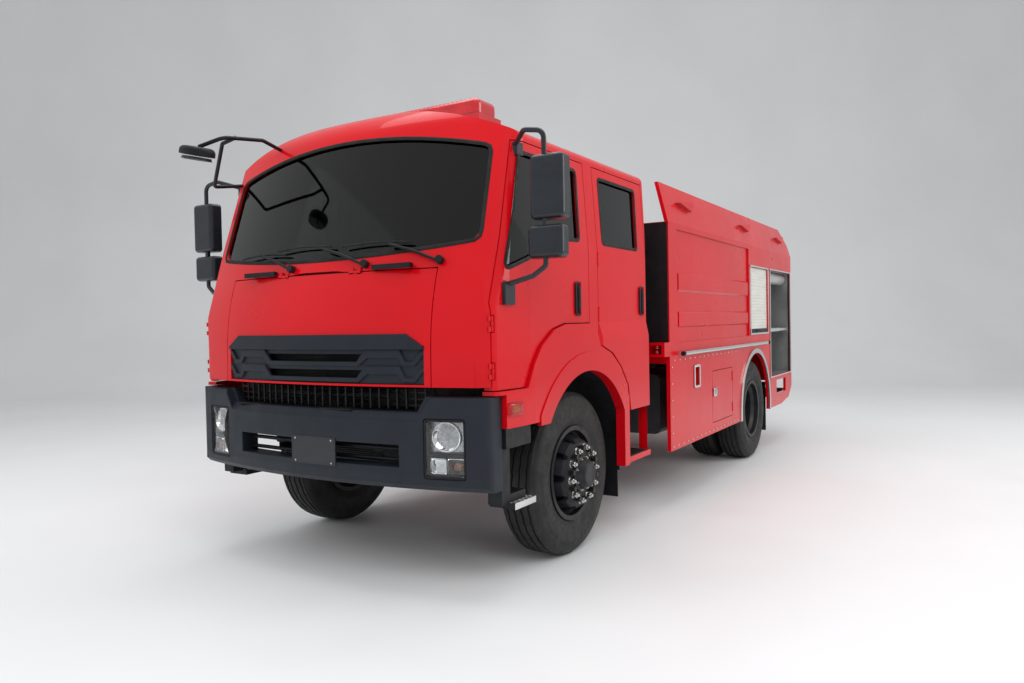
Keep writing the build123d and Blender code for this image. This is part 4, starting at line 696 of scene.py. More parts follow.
def tyre_form(x):
    """A tyre about the X axis.

    Its section runs out along the bead, up the bulged side, over the round shoulder and
    across the tread. Four grooves are cut into the tread, and each groove wanders a little
    as it goes round.
    """
    half = 0.145
    inner = 0.2863
    side_r = np.array([0.300, 0.306, 0.309, 0.316, 0.330, 0.345, 0.348, 0.351, 0.372, 0.400,
                       0.428, 0.448, 0.451, 0.454, 0.468, 0.480, 0.492, 0.501, 0.508])
    side_x = np.array([0.112, 0.115, 0.1175, 0.1195, 0.128, 0.1335, 0.1345, 0.1375, 0.1425, 0.145,
                       0.1435, 0.1405, 0.1385, 0.1375, 0.1345, 0.1305, 0.1245, 0.1165, 0.1045])
    places = np.array([-0.073, -0.025, 0.025, 0.073])
    depth = sizes().groove_depth
    tread = [(-0.098, 0.0)]
    for place in places:
        tread += [(place - 0.0065, 0.0), (place - 0.004, depth), (place + 0.004, depth),
                  (place + 0.0065, 0.0)]
    tread = np.array(tread + [(0.098, 0.0)])
    crown = TYRE_RADIUS - 0.006 * (tread[:, 0] / 0.098) ** 2 - tread[:, 1]
    section_x = np.concatenate([-side_x, tread[:, 0], side_x[::-1], [0.108, -0.108]])
    section_r = np.concatenate([side_r, crown, side_r[::-1], [inner, inner]])
    wander = np.zeros(len(section_x))
    inside = slice(len(side_x) + 1, len(side_x) + len(tread) - 1)
    wander[inside] = 0.0022
    count = 160
    angle = np.arange(count) * 2 * math.pi / count
    across = section_x[:, None] + wander[:, None] * np.sign(np.sin(angle * 40))
    notch = np.zeros(len(section_x))
    notch[[len(side_x) - 1, len(side_x) + len(tread)]] = 0.004
    radius = section_r[:, None] - notch[:, None] * (np.sin(angle * 80) > 0.3)
    across = np.clip(across, -half, half)
    points = np.stack([x + across, radius * np.cos(angle), radius * np.sin(angle)], axis=-1)
    return ring_grid(points.transpose(1, 0, 2))


def wheel_nut(radius, height):
    """A wheel nut along X: a round washer, a six-sided body, a domed cap and the stud's end.

    Round the six-sided rows, the radius follows the flats between the corners.
    """
    count = 24
    angle = np.arange(count) * 2 * math.pi / count
    flat = math.cos(math.pi / 6) / np.cos((angle + math.pi / 6) % (math.pi / 3) - math.pi / 6)
    rows = [(0, 1.22, 0), (0.10, 1.22, 0), (0.14, 1.0, 1), (0.58, 1.0, 1), (0.68, 0.84, 0),
            (0.72, 0.56, 0), (0.94, 0.53, 0), (1.0, 0.42, 0)]
    points = []
    for share, size, sixsided in rows:
        size = radius * size * (flat if sixsided else np.ones(count))
        points.append(np.stack([
            np.full(count, share * height), size * np.cos(angle), size * np.sin(angle)], axis=-1))
    return grid(np.stack(points), around=True)


def round_axle(form, count, radius, first=0.0):
    """Copies of a form in a ring about the X axis."""
    angles = first + np.arange(count) * 360 / count
    return [moved(moved(form, (0, radius, 0)), turn=turn_about("X", angle)) for angle in angles]


def rim_detail(face):
    """The hub's flange, cap and small bolts on a wheel's disc."""
    flange = lathe([(face - 0.002, 0.118), (face + 0.012, 0.118), (face + 0.016, 0.112),
                    (face + 0.016, 0.098), (face + 0.022, 0.094), (face + 0.060, 0.080),
                    (face + 0.064, 0.074), (face + 0.064, 0.058), (face + 0.056, 0.052),
                    (face + 0.060, 0.020), (face + 0.061, 0.001)], 64)
    bolt = wheel_nut(0.008, 0.014)
    return flange, round_axle(moved(bolt, (face + 0.016, 0, 0)), 8, 0.104, 22.5)


class FIRETRUCK_OT_tyres(bpy.types.Operator):
    """Moulds the six tyres with their grooves and side rings"""

    bl_idname = "fire_truck.tyres"
    bl_label = "Tyres"

    def execute(self, context):
        outer = middle_of("rear_tyres_left").x + TWIN_SPACING / 2
        for sign, side in SIDES:
            at = (0, 0, TYRE_RADIUS)
            front = moved(tyre_form(sign * FRONT_TYRE_X), at)
            made = piece(f"tyre_front_{side}", front, FINISHES["tyre_rubber"],
                         f"front_wheel_{side}_body", 30)
            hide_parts(f"front_tyre_{side}")
            back = (0, WHEELBASE, TYRE_RADIUS)
            twins = [moved(tyre_form(sign * x), back) for x in (outer, outer - TWIN_SPACING)]
            made = piece(f"tyres_rear_{side}", twins, FINISHES["tyre_rubber"],
                         f"rear_wheels_{side}_body", 30)
            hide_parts(f"rear_tyres_{side}")
        return {"FINISHED"}


class FIRETRUCK_OT_wheel_fittings(bpy.types.Operator):
    """Puts the nuts, hub caps and small bolts on the wheels"""

    bl_idname = "fire_truck.wheel_fittings"
    bl_label = "Wheel fittings"

    def execute(self, context):
        steel, black = FINISHES["nut_steel"], FINISHES["wheel_black"]
        nut = wheel_nut(sizes().nut_radius, 0.044)
        twin_face = middle_of("rear_tyres_left").x + 0.016
        places = (("front_wheel", FRONT_TYRE_X + 0.180, 0), ("rear_wheels", twin_face, WHEELBASE))
        for wheel, face, y in places:
            flange, bolts = rim_detail(0)
            nuts = round_axle(nut, 10, 0.1675, 6.4)
            forms = {"hub": [flange], "nuts": nuts + bolts}
            for kind, parts in forms.items():
                placed = [moved(part, (face, y, TYRE_RADIUS)) for part in parts]
                finish = black if kind == "hub" else steel
                for sign, side in SIDES:
                    piece(f"{wheel}_{kind}_{side}", on_its_side(placed, sign), finish,
                          f"{wheel}_{side}_body")
        return {"FINISHED"}


# Glass surrounds

def screen_path():
    """The windscreen's edge as points of X and Z, its four corners rounded."""
    across = np.linspace(-1.018, 1.018, 25)
    top = np.stack([across, 2.605 - 0.125 * (across / 1.018) ** 2], axis=-1)
    across = np.linspace(1.040, -1.040, 25)
    low = np.stack([across, 1.880 + 0.065 * (across / 1.040) ** 2], axis=-1)
    return soft_loop(np.concatenate([top, low]), 0.09, 150)


def soft_loop(points, radius, count):
    """A closed outline with its corners rounded, as points at equal steps."""
    points = np.asarray(points, float)
    start = (points[0] + points[-1]) / 2
    loop = np.concatenate([[start], points, [start]])
    return spaced(rounded_path(loop, radius)[:-1], count)


FRONT_WINDOW = ((-0.930, 1.775), (-0.728, 2.440), (-0.042, 2.440), (-0.058, 2.000),
                (-0.296, 1.991), (-0.652, 1.866))
REAR_WINDOW = ((0.285, 2.005), (0.283, 2.440), (0.905, 2.440), (0.880, 2.005))


class FIRETRUCK_OT_window_seals(bpy.types.Operator):
    """Lays the rubber seals round the windscreen and the doors' windows"""

    bl_idname = "fire_truck.window_seals"
    bl_label = "Window seals"

    def execute(self, context):
        rubber = FINISHES["flap_rubber"]
        width = sizes().seal_width
        seal = ribbon(screen_path(), width, 0.004, on_front)
        piece("windscreen_seal", seal, rubber, "truck")
        for name, window in (("front_door", FRONT_WINDOW), ("rear_door", REAR_WINDOW)):
            form = ribbon(soft_loop(window, 0.03, 110), width, 0.004, on_side)
            piece(f"{name}_seal_left", form, rubber, f"{name}_left_body")
            piece(f"{name}_seal_right", other_side(form), rubber, f"{name}_right_body")
        return {"FINISHED"}


def both(name, forms, finish, body, slot, smooth=40):
    """A piece for the left side and its mirror image for the right.

    The body's name holds a side in braces where each side has its own.
    """
    forms = forms if isinstance(forms, list) else [forms]
    for sign, side in SIDES:
        piece(f"{name}_{side}", on_its_side(forms, sign), finish, body.format(side), smooth)


# Lamps

LAMP_CENTRE = (0.901, 0.830)


class FIRETRUCK_OT_headlamps(bpy.types.Operator):
    """Builds the headlamps: housing, bowls, divider, inner lenses and clear cover"""

    bl_idname = "fire_truck.headlamps"
    bl_label = "Headlamps"

    def execute(self, context):
        middle = np.array(LAMP_CENTRE)
        bowl = middle + (0, 0.062)
        lower = [middle + (x, -0.095) for x in (-0.050, 0.050)]
        housing = layered(pad_outline(0.236, 0.318, 0.02) + middle, [
            (0, -0.078), (0, -0.003), (0.010, -0.003), (0.016, -0.012), (0.018, -0.068)], on_bumper)
        surround = layered(pad_outline(0.198, 0.178, 0.02) + bowl, [
            (0, -0.067), (0, -0.044), (0.012, -0.036)], on_bumper)
        facets = layered(disc_outline(0.079, 28) + bowl, [
            (0, -0.066), (0, -0.022), (0.005, -0.020), (0.010, -0.028), (0.026, -0.046),
            (0.050, -0.060), (0.064, -0.062)], on_bumper)
        bulb = layered(disc_outline(0.015, 24) + bowl, [
            (0, -0.063), (0, -0.038), (0.004, -0.032), (0.010, -0.030)], on_bumper)
        divider = layered(pad_outline(0.206, 0.012, 0.003) + middle + (0, -0.039), [
            (0, -0.067), (0, -0.018), (0.002, -0.016)], on_bumper)
        trays = [layered(pad_outline(0.094, 0.088, 0.012) + at, [
            (0, -0.067), (0, -0.026), (0.004, -0.024), (0.012, -0.050), (0.014, -0.058)],
            on_bumper) for at in lower]
        lenses = [layered(pad_outline(0.082, 0.076, 0.010) + at, [
            (0, -0.034), (0, -0.026), (0.003, -0.023)], on_bumper) for at in lower]
        cover = layered(pad_outline(0.214, 0.296, 0.02) + middle, [
            (0, -0.010), (0, -0.005), (0.003, -0.003)], on_bumper)
        f = FINISHES
        both("headlamp_housing", [housing, divider], f["black_plastic"], "truck", "black_plastic")
        both("headlamp_surround", surround, f["bezel_silver"], "truck", "bright_trim")
        both("headlamp_bowl", [facets, *trays], f["lamp_mirror"], "truck", "bright_trim", 12)
        both("headlamp_bulb", [bulb, *lenses], f["lamp_cover"], "truck", "lamp_glass")
        amber = layered(disc_outline(0.020, 24) + lower[1], [
            (0, -0.056), (0, -0.042), (0.006, -0.036)], on_bumper)
        both("headlamp_amber", amber, f["amber_cover"], "truck", "lamp_glass")
        both("headlamp_cover", cover, f["lamp_cover"], "truck", "lamp_glass")
        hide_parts("headlamps")
        return {"FINISHED"}


class FIRETRUCK_OT_side_lamps(bpy.types.Operator):
    """Puts the lamps on the fenders, the base under the lamp bar and the marker lenses"""

    bl_idname = "fire_truck.side_lamps"
    bl_label = "Side lamps and lamp bar"

    def execute(self, context):
        f = FINISHES
        at = np.array((-0.880, 1.030))
        inner = layered(pad_outline(0.060, 0.040, 0.010) + at, [
            (0, 0.012), (0, 0.024), (0.006, 0.028)], on_side)
        clear = layered(pad_outline(0.130, 0.074, 0.014) + at, [
            (0, 0.012), (0, 0.028), (0.004, 0.033), (0.012, 0.035)], on_side)
        both("side_lamp_amber", inner, f["amber_cover"], "truck", "lamp_glass")
        both("side_lamp_cover", clear, f["lamp_cover"], "truck", "lamp_glass")
        gasket = block((-0.612, -0.328, 2.822), (0.612, -0.072, 2.835), 0.005)
        piece("lamp_bar_base", gasket, f["black_plastic"], "truck")
        lens = layered(pad_outline(0.062, 0.066, 0.008), [(0, -0.002), (0, 0.003), (0.003, 0.005)],
                       facing_back(0))
        tilt = turn_about("X", -40)
        lenses = [moved(lens, (1.205, y + 0.120, 2.425), tilt) for y in MARKER_PLACES]
        both("marker_lens", lenses, f["red_lens"], "truck", "lamp_glass")
        return {"FINISHED"}


# Front

class FIRETRUCK_OT_front_details(bpy.types.Operator):
    """Adds the slats, lattice, bumper pads, blank plate, slot rods and radiator core"""

    bl_idname = "fire_truck.front_details"
    bl_label = "Front details"

    def execute(self, context):
        f = FINISHES
        slats, backs = [], []
        for low in (1.178, 1.268):
            for height in np.linspace(low + 0.027, low + 0.061, 5):
                slats.append(layered(strip_outline(0.79, 0.0035) + (0, height), [
                    (0, -0.045), (0, -0.033)], on_front))
            backs.append(layered(strip_outline(0.84, 0.085) + (0, low + 0.044), [
                (0, -0.062), (0, -0.056)], on_front))
        piece("grille_slats", slats + backs, f["black_plastic"], "flap", 30)
        bars = [layered(strip_outline(1.50, 0.010) + (0, height), [
            (0, -0.075), (0, -0.060)], on_front) for height in (1.050, 1.085, 1.120)]
        bars += [layered(pad_outline(0.010, 0.115, 0.002, 2) + (x, 1.085), [
            (0, -0.073), (0, -0.062)], on_front) for x in np.linspace(-0.74, 0.74, 26)]
        bars.append(layered(strip_outline(1.52, 0.13) + (0, 1.085), [
            (0, -0.125), (0, -0.115)], on_front))
        piece("lattice", bars, f["black_plastic"], "truck", 30)
        pads = []
        for left, right, y in ((-0.690, -0.495, -1.172), (0.047, 0.296, -1.205)):
            pads.append(block((left, y, 1.017), (right, y + 0.078, 1.023), 0.002))
            for x in np.arange(left + 0.012, right - 0.008, 0.014):
                pads.append(block((x, y + 0.006, 1.022), (x + 0.006, y + 0.072, 1.0255), 0.001, 2))
        piece("bumper_pads", pads, f["flap_rubber"], "truck")
        plate = layered(pad_outline(0.345, 0.160, 0.008) + (0.0325, 0.780), [
            (0, -0.004), (0, 0.004), (0.002, 0.006), (0.008, 0.006), (0.010, 0.004)], on_bumper)
        piece("blank_plate", plate, f["mirror_shell_plastic"], "truck")
        screw = layered(disc_outline(0.006, 12), [(0, 0), (0, 0.003), (0.002, 0.005)], on_bumper)
        screws = [moved(screw, (x, 0, z)) for x in (-0.11, 0.175) for z in (0.715, 0.845)]
        piece("plate_screws", screws, f["nut_steel"], "truck")
        rods = [tube([(-0.62, -1.12, z), (0, -1.16, z), (0.62, -1.12, z)], 0.012)
                for z in (0.75, 0.81)]
        piece("slot_rods", rods, f["black_plastic"], "truck")
        core = [block((-0.62, -0.752, z), (0.62, -0.744, z + 0.006), 0.001, 2)
                for z in np.arange(0.64, 0.98, 0.012)]
        core.append(block((-0.64, -0.745, 0.62), (0.64, -0.738, 1.00), 0.001, 2))
        piece("radiator_core", core, f["chassis_paint"], "truck", 30)
        return {"FINISHED"}


# Mirrors

def facing_up(points, depth):
    """Points of X and Y on a level plane, a depth up from it."""
    return np.stack([points[:, 0], points[:, 1], depth + 0 * points[:, 0]], axis=-1)


def facing_down(points, depth):
    """Points of X and Y on a level plane, a depth down from it."""
    return facing_up(points, -depth)


class FIRETRUCK_OT_mirrors(bpy.types.Operator):
    """Puts the glasses and their rims into the mirrors' heads"""

    bl_idname = "fire_truck.mirrors"
    bl_label = "Mirrors"

    def execute(self, context):
        f = FINISHES
        glasses, rims = [], []
        for x, z, width, height, y in ((1.390, 2.205, 0.164, 0.304, -0.790),
                                       (1.377, 1.9175, 0.172, 0.138, -0.800)):
            outline = pad_outline(width, height, 0.022) + (x, z)
            place = facing_back(y)
            glasses.append(layered(outline, [(0, -0.004), (0, 0.002), (0.002, 0.003)], place))
            rims.append(ribbon(outline, 0.008, 0.005, place))
        both("mirror_glass", glasses, f["mirror_glass"], "front_door_{}_body", "lamp_glass")
        both("mirror_rim", rims, f["mirror_shell_plastic"], "front_door_{}_body", "black_plastic")
        turn = turn_about("Y", 12)
        oval = disc_outline(1.0, 48) * (0.108, 0.072)
        glass = layered(oval, [(0, 0.010), (0, 0.0235), (0.004, 0.0255)], facing_down)
        rim = ribbon(oval, 0.008, 0.003, lambda points, depth: facing_down(points, depth + 0.024))
        at = (-0.720, -1.400, 2.540)
        piece("look_down_glass", moved(glass, at, turn), f["tinted_glass"], "truck")
        piece("look_down_rim", moved(rim, at, turn), f["mirror_shell_plastic"], "truck")
        return {"FINISHED"}


# Cab

class FIRETRUCK_OT_cab_details(bpy.types.Operator):
    """Adds the door handles, the step treads, pads and edges, and the wiper blades"""

    bl_idname = "fire_truck.cab_details"
    bl_label = "Cab details"

    def execute(self, context):
        f = FINISHES
        for door, y in (("front_door", -0.105), ("rear_door", 0.930)):
            frame_form = layered(pad_outline(0.078, 0.212, 0.020) + (y, 1.635), [
                (0, -0.002), (0, 0.010), (0.006, 0.014), (0.014, 0.014), (0.018, 0.008)], on_side)
            grip = layered(pad_outline(0.030, 0.160, 0.012) + (y - 0.006, 1.635), [
                (0, 0.004), (0, 0.020), (0.006, 0.026)], on_side)
            both(f"{door}_handle", [frame_form, grip], f["black_plastic"], door + "_{}_body",
                 "black_plastic")
        lozenge = layered(disc_outline(0.011, 4) * (1, 0.42), [(0, 0), (0.001, 0.0022)], facing_up)
        turned = [moved(lozenge, turn=turn_about("Z", a)) for a in (45, -45)]
        studs = [moved(turned[(i + k) % 2], (1.012 + 0.020 * i, -0.858 + 0.020 * k, 0.512))
                 for i in range(8) for k in range(11)]
        both("front_step_tread", studs, f["tread_plate"], "truck", "bright_trim", 20)
        pad = block((0.940, 0.700, 0.519), (1.172, 1.036, 0.525), 0.002)
        ribs = [block((0.950, y, 0.524), (1.162, y + 0.008, 0.5285), 0.001, 2)
                for y in np.arange(0.712, 1.024, 0.020)]
        both("rear_step_pad", [pad, *ribs], f["flap_rubber"], "truck", "flap_rubber")
        bar = block((1.166, -0.872, 0.478), (1.170, -0.648, 0.514), 0.0015)
        both("front_step_edge", bar, f["shutter_aluminium"], "truck", "bright_trim")
        blades = []
        for x, z in ((-0.149, 1.970), (0.408, 1.961), (-0.53, 1.945)):
            across = np.linspace(x - 0.23, x + 0.23, 24)
            height = z - 0.012 * ((across - x) / 0.23) ** 2
            path = np.stack([across, nose_y(across, height) - 0.016, height], axis=-1)
            blades.append(tube(path, 0.0055, 8))
        piece("wiper_blades", blades, f["flap_rubber"], "truck")
        return {"FINISHED"}


# Lockers

SHUTTER_FACE = BODY_SIDE - 0.022
FRONT_LOCKER = (3.797, 4.538, 1.337, 2.035)
REAR_LOCKER = (4.657, 5.693, 0.827, 2.035)


def slats(start, end, low, high):
    """A slatted curtain, as places along, heights and depths.

    Up the curtain each slat is a low flat bulge between two grooves; the back is flat.
    """
    pitch = sizes().slat_height
    count = int(round((high - low) / pitch))
    pitch = (high - low) / count
    share = np.array([0.0, 0.06, 0.16, 0.84, 0.94])
    bulge = np.array([0.0, 0.0030, 0.0045, 0.0045, 0.0030])
    height = (low + pitch * (np.arange(count)[:, None] + share)).ravel()
    depth = np.tile(bulge, count)
    height = np.concatenate([height, [high, high, low]])
    depth = np.concatenate([depth, [0.0, -0.003, -0.003]])
    along = np.array([[start], [end]]) + 0 * height
    return grid(np.stack([0 * along + depth, along, 0 * along + height], axis=-1), around=True)


def opening_frame(start, end, low, high, width, depth):
    """Four strips round an opening, on the plane X = 0."""
    return [
        block((-0.001, start - width, low - width), (depth, start, high + width), 0.0015),
        block((-0.001, end, low - width), (depth, end + width, high + width), 0.0015),
        block((-0.001, start, high), (depth, end, high + width), 0.0015),
        block((-0.001, start, low - width), (depth, end, low), 0.0015),
    ]


class FIRETRUCK_OT_shutters(bpy.types.Operator):
    """Gives the closed shutters their slats, foot bars and frames"""

    bl_idname = "fire_truck.shutters"
    bl_label = "Shutters"

    def execute(self, context):
        f = FINISHES
        for name, run, sides in (("front", FRONT_LOCKER, (0, 1)), ("rear", REAR_LOCKER, (1,))):
            curtain = moved(slats(*run), (SHUTTER_FACE, 0, 0))
            start, end, low, high = run
            foot = block((SHUTTER_FACE, start, low),
                         (SHUTTER_FACE + 0.014, end, low + 0.042), 0.003)
            grip = block((SHUTTER_FACE + 0.012, (start + end) / 2 - 0.14, low + 0.012),
                         (SHUTTER_FACE + 0.020, (start + end) / 2 + 0.14, low + 0.030), 0.003)
            frame_forms = [moved(form, (BODY_SIDE, 0, 0))
                           for form in opening_frame(*run, 0.018, 0.004)]
            for number in sides:
                sign, side = SIDES[number]
                for kind, forms, finish, slot in (
                        ("slats", [curtain], "shutter_cream", "shutter_aluminium"),
                        ("foot", [foot, grip], "black_plastic", "black_plastic"),
                        ("frame", frame_forms, "shutter_aluminium", "shutter_aluminium")):
                    piece(f"{name}_shutter_{kind}_{side}", on_its_side(forms, sign), f[finish],
                          "truck")
        back = moved(slats(-0.475, 0.475, 1.197, 2.035), turn=turn_about("Z", 90))
        back = moved(back, (0, REAR_END - 0.022, 0))
        piece("back_shutter_slats", back, f["shutter_cream"], "truck")
        return {"FINISHED"}


class FIRETRUCK_OT_locker(bpy.types.Operator):
    """Lines the open locker and adds its frame, seal, shelf edge and valve parts"""

    bl_idname = "fire_truck.locker"
    bl_label = "Open locker"

    def execute(self, context):
        f = FINISHES
        start, end, low, high = 4.652, 5.698, 0.822, 2.038
        inner, outer = 0.547, BODY_SIDE - 0.030
        thin = 0.0015
        lining = [
            block((inner, start, low), (inner + thin, end, high), 0.0005, 2),
            block((inner, start, low), (outer, start + thin, high), 0.0005, 2),
            block((inner, end - thin, low), (outer, end, high), 0.0005, 2),
            block((inner, start, low), (outer, end, low + thin), 0.0005, 2),
            block((inner, start, high - thin), (outer, end, high), 0.0005, 2),
        ]
        piece("locker_lining", lining, f["locker_sheet"], "truck")
        frame_forms = [moved(form, (BODY_SIDE, 0, 0))
                       for form in opening_frame(4.650, 5.700, 0.820, 2.040, 0.016, 0.004)]
        piece("locker_frame", frame_forms, f["shutter_aluminium"], "truck")
        seal = [block((BODY_SIDE - 0.028, y, low), (BODY_SIDE - 0.006, y + 0.014, high), 0.004)
                for y in (start, end - 0.014)]
        piece("locker_seal", seal, f["flap_rubber"], "truck")
        edge = block((1.196, start, 1.330), (1.202, end, 1.372), 0.002)
        piece("shelf_edge", edge, f["polished_steel"], "truck")
        at = (4.980, 1.560)
        circle = disc_outline(0.055, 36)
        hoop = np.concatenate([np.full((36, 1), 0.862), circle], axis=1)
        collar = moved(tube(hoop, 0.007, 10, closed=True), (0, *at))
        piece("outlet_collar", collar, f["valve_white"], "truck")
        lever = tube([(0.715, 4.905, 1.712), (0.715, 5.055, 1.712)], 0.0165, 14)
        piece("valve_lever", lever, f["red_paint"], "truck")
        return {"FINISHED"}


# Body

def on_body(points, depth):
    """Points of Y and Z laid on the body's left side."""
    return np.stack([BODY_SIDE + depth + 0 * points[:, 0], points[:, 0], points[:, 1]], axis=-1)


class FIRETRUCK_OT_body_details(bpy.types.Operator):
    """Adds the rivets, latches, fillers, lock pins, rail ends, deck and gap sheet"""

    bl_idname = "fire_truck.body_details"
    bl_label = "Body details"

    def execute(self, context):
        f = FINISHES
        dome = layered(disc_outline(0.0065, 10), [
            (0, -0.001), (0.001, 0.0018), (0.003, 0.0030), (0.005, 0.0034)], on_body)
        row = [(y, 1.172) for y in np.arange(1.44, 3.25, 0.125)]
        row += [(y, 0.492) for y in np.arange(1.40, 3.24, 0.115)]
        row += [(1.385, z) for z in np.arange(0.60, 1.12, 0.13)]
        both("rivets", [moved(dome, (0, y, z)) for y, z in row], f["nut_steel"], "truck",
             "bright_trim")
        latch = layered(pad_outline(0.100, 0.078, 0.010) + (2.505, 0.830), [
            (0, -0.001), (0, 0.003), (0.003, 0.005), (0.020, 0.005), (0.023, 0.002)], on_body)
        both("skirt_latch", latch, f["polished_steel"], "skirt_door_{}_body", "bright_trim")
        filler = ribbon(pad_outline(0.136, 0.176, 0.012) + (2.000, 1.010), 0.020, 0.004, on_body)
        both("filler_frame", filler, f["shutter_aluminium"], "truck", "bright_trim")
        cap = moved(lathe([(1.187, 0.042), (1.195, 0.042), (1.199, 0.036), (1.199, 0.002)], 28),
                    (0, 2.000, 1.005))
        both("filler_cap", cap, f["black_plastic"], "truck", "black_plastic")
        sheet = block((-1.236, 1.3435, 1.316), (1.236, 1.3475, 2.256), 0.001, 2)
        piece("gap_sheet", sheet, f["black_plastic"], "truck")
        pins = [tube([(1.190, 1.222, z), (1.190, 1.212, z)], 0.012, 14) for z in (1.245, 1.281)]
        both("lock_pins", pins, f["polished_steel"], "truck", "bright_trim")
        rail_x = BODY_SIDE + 0.034
        ends = [tube([(rail_x, y, RAIL_HEIGHT), (rail_x, y + 0.030, RAIL_HEIGHT)], 0.0195, 16)
                for y in (1.540, 4.388)]
        both("rail_ends", ends, f["black_plastic"], "truck", "black_plastic")
        deck = block((-1.115, 1.380, 2.260), (1.115, 5.380, 2.2635), 0.001, 2)
        lids = [block((-0.42, y, 2.262), (0.42, y + 0.80, 2.2685), 0.002) for y in (1.95, 3.55)]
        piece("deck_sheet", [deck, *lids], f["tread_plate"], "truck")
        return {"FINISHED"}


class FIRETRUCK_OT_tail(bpy.types.Operator):
    """Adds the tail lamps' lenses"""

    bl_idname = "fire_truck.tail"
    bl_label = "Tail"

    def execute(self, context):
        f = FINISHES
        face = facing_back(REAR_END)
        lenses = {"red_lens": (0.820, 1.050), "amber_cover": (0.900,), "lamp_cover": (0.975,)}
        for finish, places in lenses.items():
            forms = [layered(pad_outline(0.068, 0.070, 0.010) + (x, 0.540), [
                (0, -0.010), (0, -0.004), (0.004, -0.001)], face) for x in places]
            both(f"tail_{finish}", forms, f[finish], "truck",
                 "tail_lamp" if finish == "red_lens" else "lamp_glass")
        return {"FINISHED"}


# Seats

def pad_mesh(name, low, high):
    """A cushion's mesh before it is filled: a rounded box cut into small even squares, crowned.

    Its two wide faces rise towards their middle by a product of two parabolas.
    """
    vertices, faces = block(low, high, 0.045, 6)
    mesh = bpy.data.meshes.new(name)
    mesh.from_pydata(vertices.tolist(), [], faces)
    face_outwards(mesh)
    obj = bpy.data.objects.new(name, mesh)
    bpy.context.scene.collection.objects.link(obj)
    remesh = obj.modifiers.new("squares", "REMESH")
    remesh.mode, remesh.voxel_size = "VOXEL", 0.014
    settle(obj)
    points = points_of(obj)
    middle, half = (np.add(low, high)) / 2, np.subtract(high, low) / 2
    share = np.clip((points - middle) / half, -1, 1)
    thin = int(np.argmin(half))
    wide = [n for n in range(3) if n != thin]
    rise = 0.012 * (1 - share[:, wide[0]] ** 2) * (1 - share[:, wide[1]] ** 2)
    points[:, thin] += np.sign(share[:, thin]) * rise
    obj.data.vertices.foreach_set("co", points.ravel())
    return obj


def points_of(obj):
    """All the vertices of a mesh, as an array."""
    points = np.empty(len(obj.data.vertices) * 3)
    obj.data.vertices.foreach_get("co", points)
    return points.reshape(-1, 3)


def settle(obj):
    """Puts what the modifiers make of a piece in place of its mesh."""
    graph = bpy.context.evaluated_depsgraph_get()
    graph.update()
    made = bpy.data.meshes.new_from_object(obj.evaluated_get(graph))
    obj.modifiers.clear()
    obj.data = made


class FIRETRUCK_OT_seats(bpy.types.Operator):
    """Fills the cushions and backs of the five seats and sews their piping on"""

    bl_idname = "fire_truck.seats"
    bl_label = "Seats"

    def execute(self, context):
        pads = []
        for number, (x, half, y) in enumerate((
                (0.620, 0.262, -0.420), (-0.620, 0.262, -0.420), (0.633, 0.305, 0.480),
                (0.0, 0.305, 0.480), (-0.633, 0.305, 0.480))):
            low, high = (x - half, y + 0.006, 1.418), (x + half, y + 0.440, 1.548)
            pads.append(pad_mesh(f"seat_cushion_{number}", low, high))
            low, high = (x - half, y + 0.415, 1.560), (x + half, y + 0.530, 2.140)
            pads.append(pad_mesh(f"seat_back_{number}", low, high))
        for pad in pads:
            pad.data.vertices.foreach_set("co", (points_of(pad) + (0, AXLE_Y, 0)).ravel())
        self.fill(pads, context.scene)
        for pad in pads:
            finer = pad.modifiers.new("smooth", "SUBSURF")
            finer.levels = finer.render_levels = 1
            pad.data.materials.append(FINISHES["seat_cloth"])
            pad.data.polygons.foreach_set("use_smooth", np.ones(len(pad.data.polygons), bool))
            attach(pad, "truck")
            self.piping(pad)
        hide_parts("seats")
        return {"FINISHED"}

    def fill(self, pads, scene):
        """Blows the pads up as cloth, with each point's way held to 14 mm."""
        before = [points_of(pad) for pad in pads]
        for pad in pads:
            cloth = pad.modifiers.new("filling", "CLOTH")
            cloth.settings.use_pressure = True
            cloth.settings.uniform_pressure_force = 4
            cloth.settings.effector_weights.gravity = 0
            cloth.settings.quality = 4
        for number in range(1, 21):
            scene.frame_set(number)
        for pad, start in zip(pads, before):
            settle(pad)
            way = points_of(pad) - start
            far = np.linalg.norm(way, axis=1, keepdims=True)
            points = start + way * np.minimum(1, 0.014 / np.maximum(far, 1e-9))
            pad.data.vertices.foreach_set("co", points.ravel())
        scene.frame_set(1)

    def piping(self, pad):
        """A thin cord round a pad's front edge, laid on the pad's nearest points."""
        points = points_of(pad)
        low, high = points.min(axis=0), points.max(axis=0)
        thin = int(np.argmin(high - low))
        wide = [n for n in range(3) if n != thin]
        size = (high - low)[wide]
        loop = spaced(pad_outline(size[0] - 0.012, size[1] - 0.012, 0.05), 160)
        path = np.zeros((len(loop), 3))
        path[:, wide] = loop + ((low + high) / 2)[wide]
        path[:, thin] = high[thin] - 0.030 if thin == 2 else low[thin] + 0.030
        gap = np.linalg.norm(path[:, None] - points[None], axis=2)
        nearest = points[np.argsort(gap, axis=1)[:, :6]].mean(axis=1)
        for _ in range(3):
            nearest = (np.roll(nearest, 1, axis=0) + nearest + np.roll(nearest, -1, axis=0)) / 3
        cord = moved(tube(nearest, 0.0045, 8, closed=True), (0, -AXLE_Y, 0))
        piece(pad.name + "_piping", cord, FINISHES["flap_rubber"], "truck")


# Stage

CAMERA_PLACE = (3.336, -4.408, 1.494)
CAMERA_TURNS = (31.534, -1.401, -1.075)
FOCAL_PIXELS = 770.319
PHOTO_WIDTH = 1024


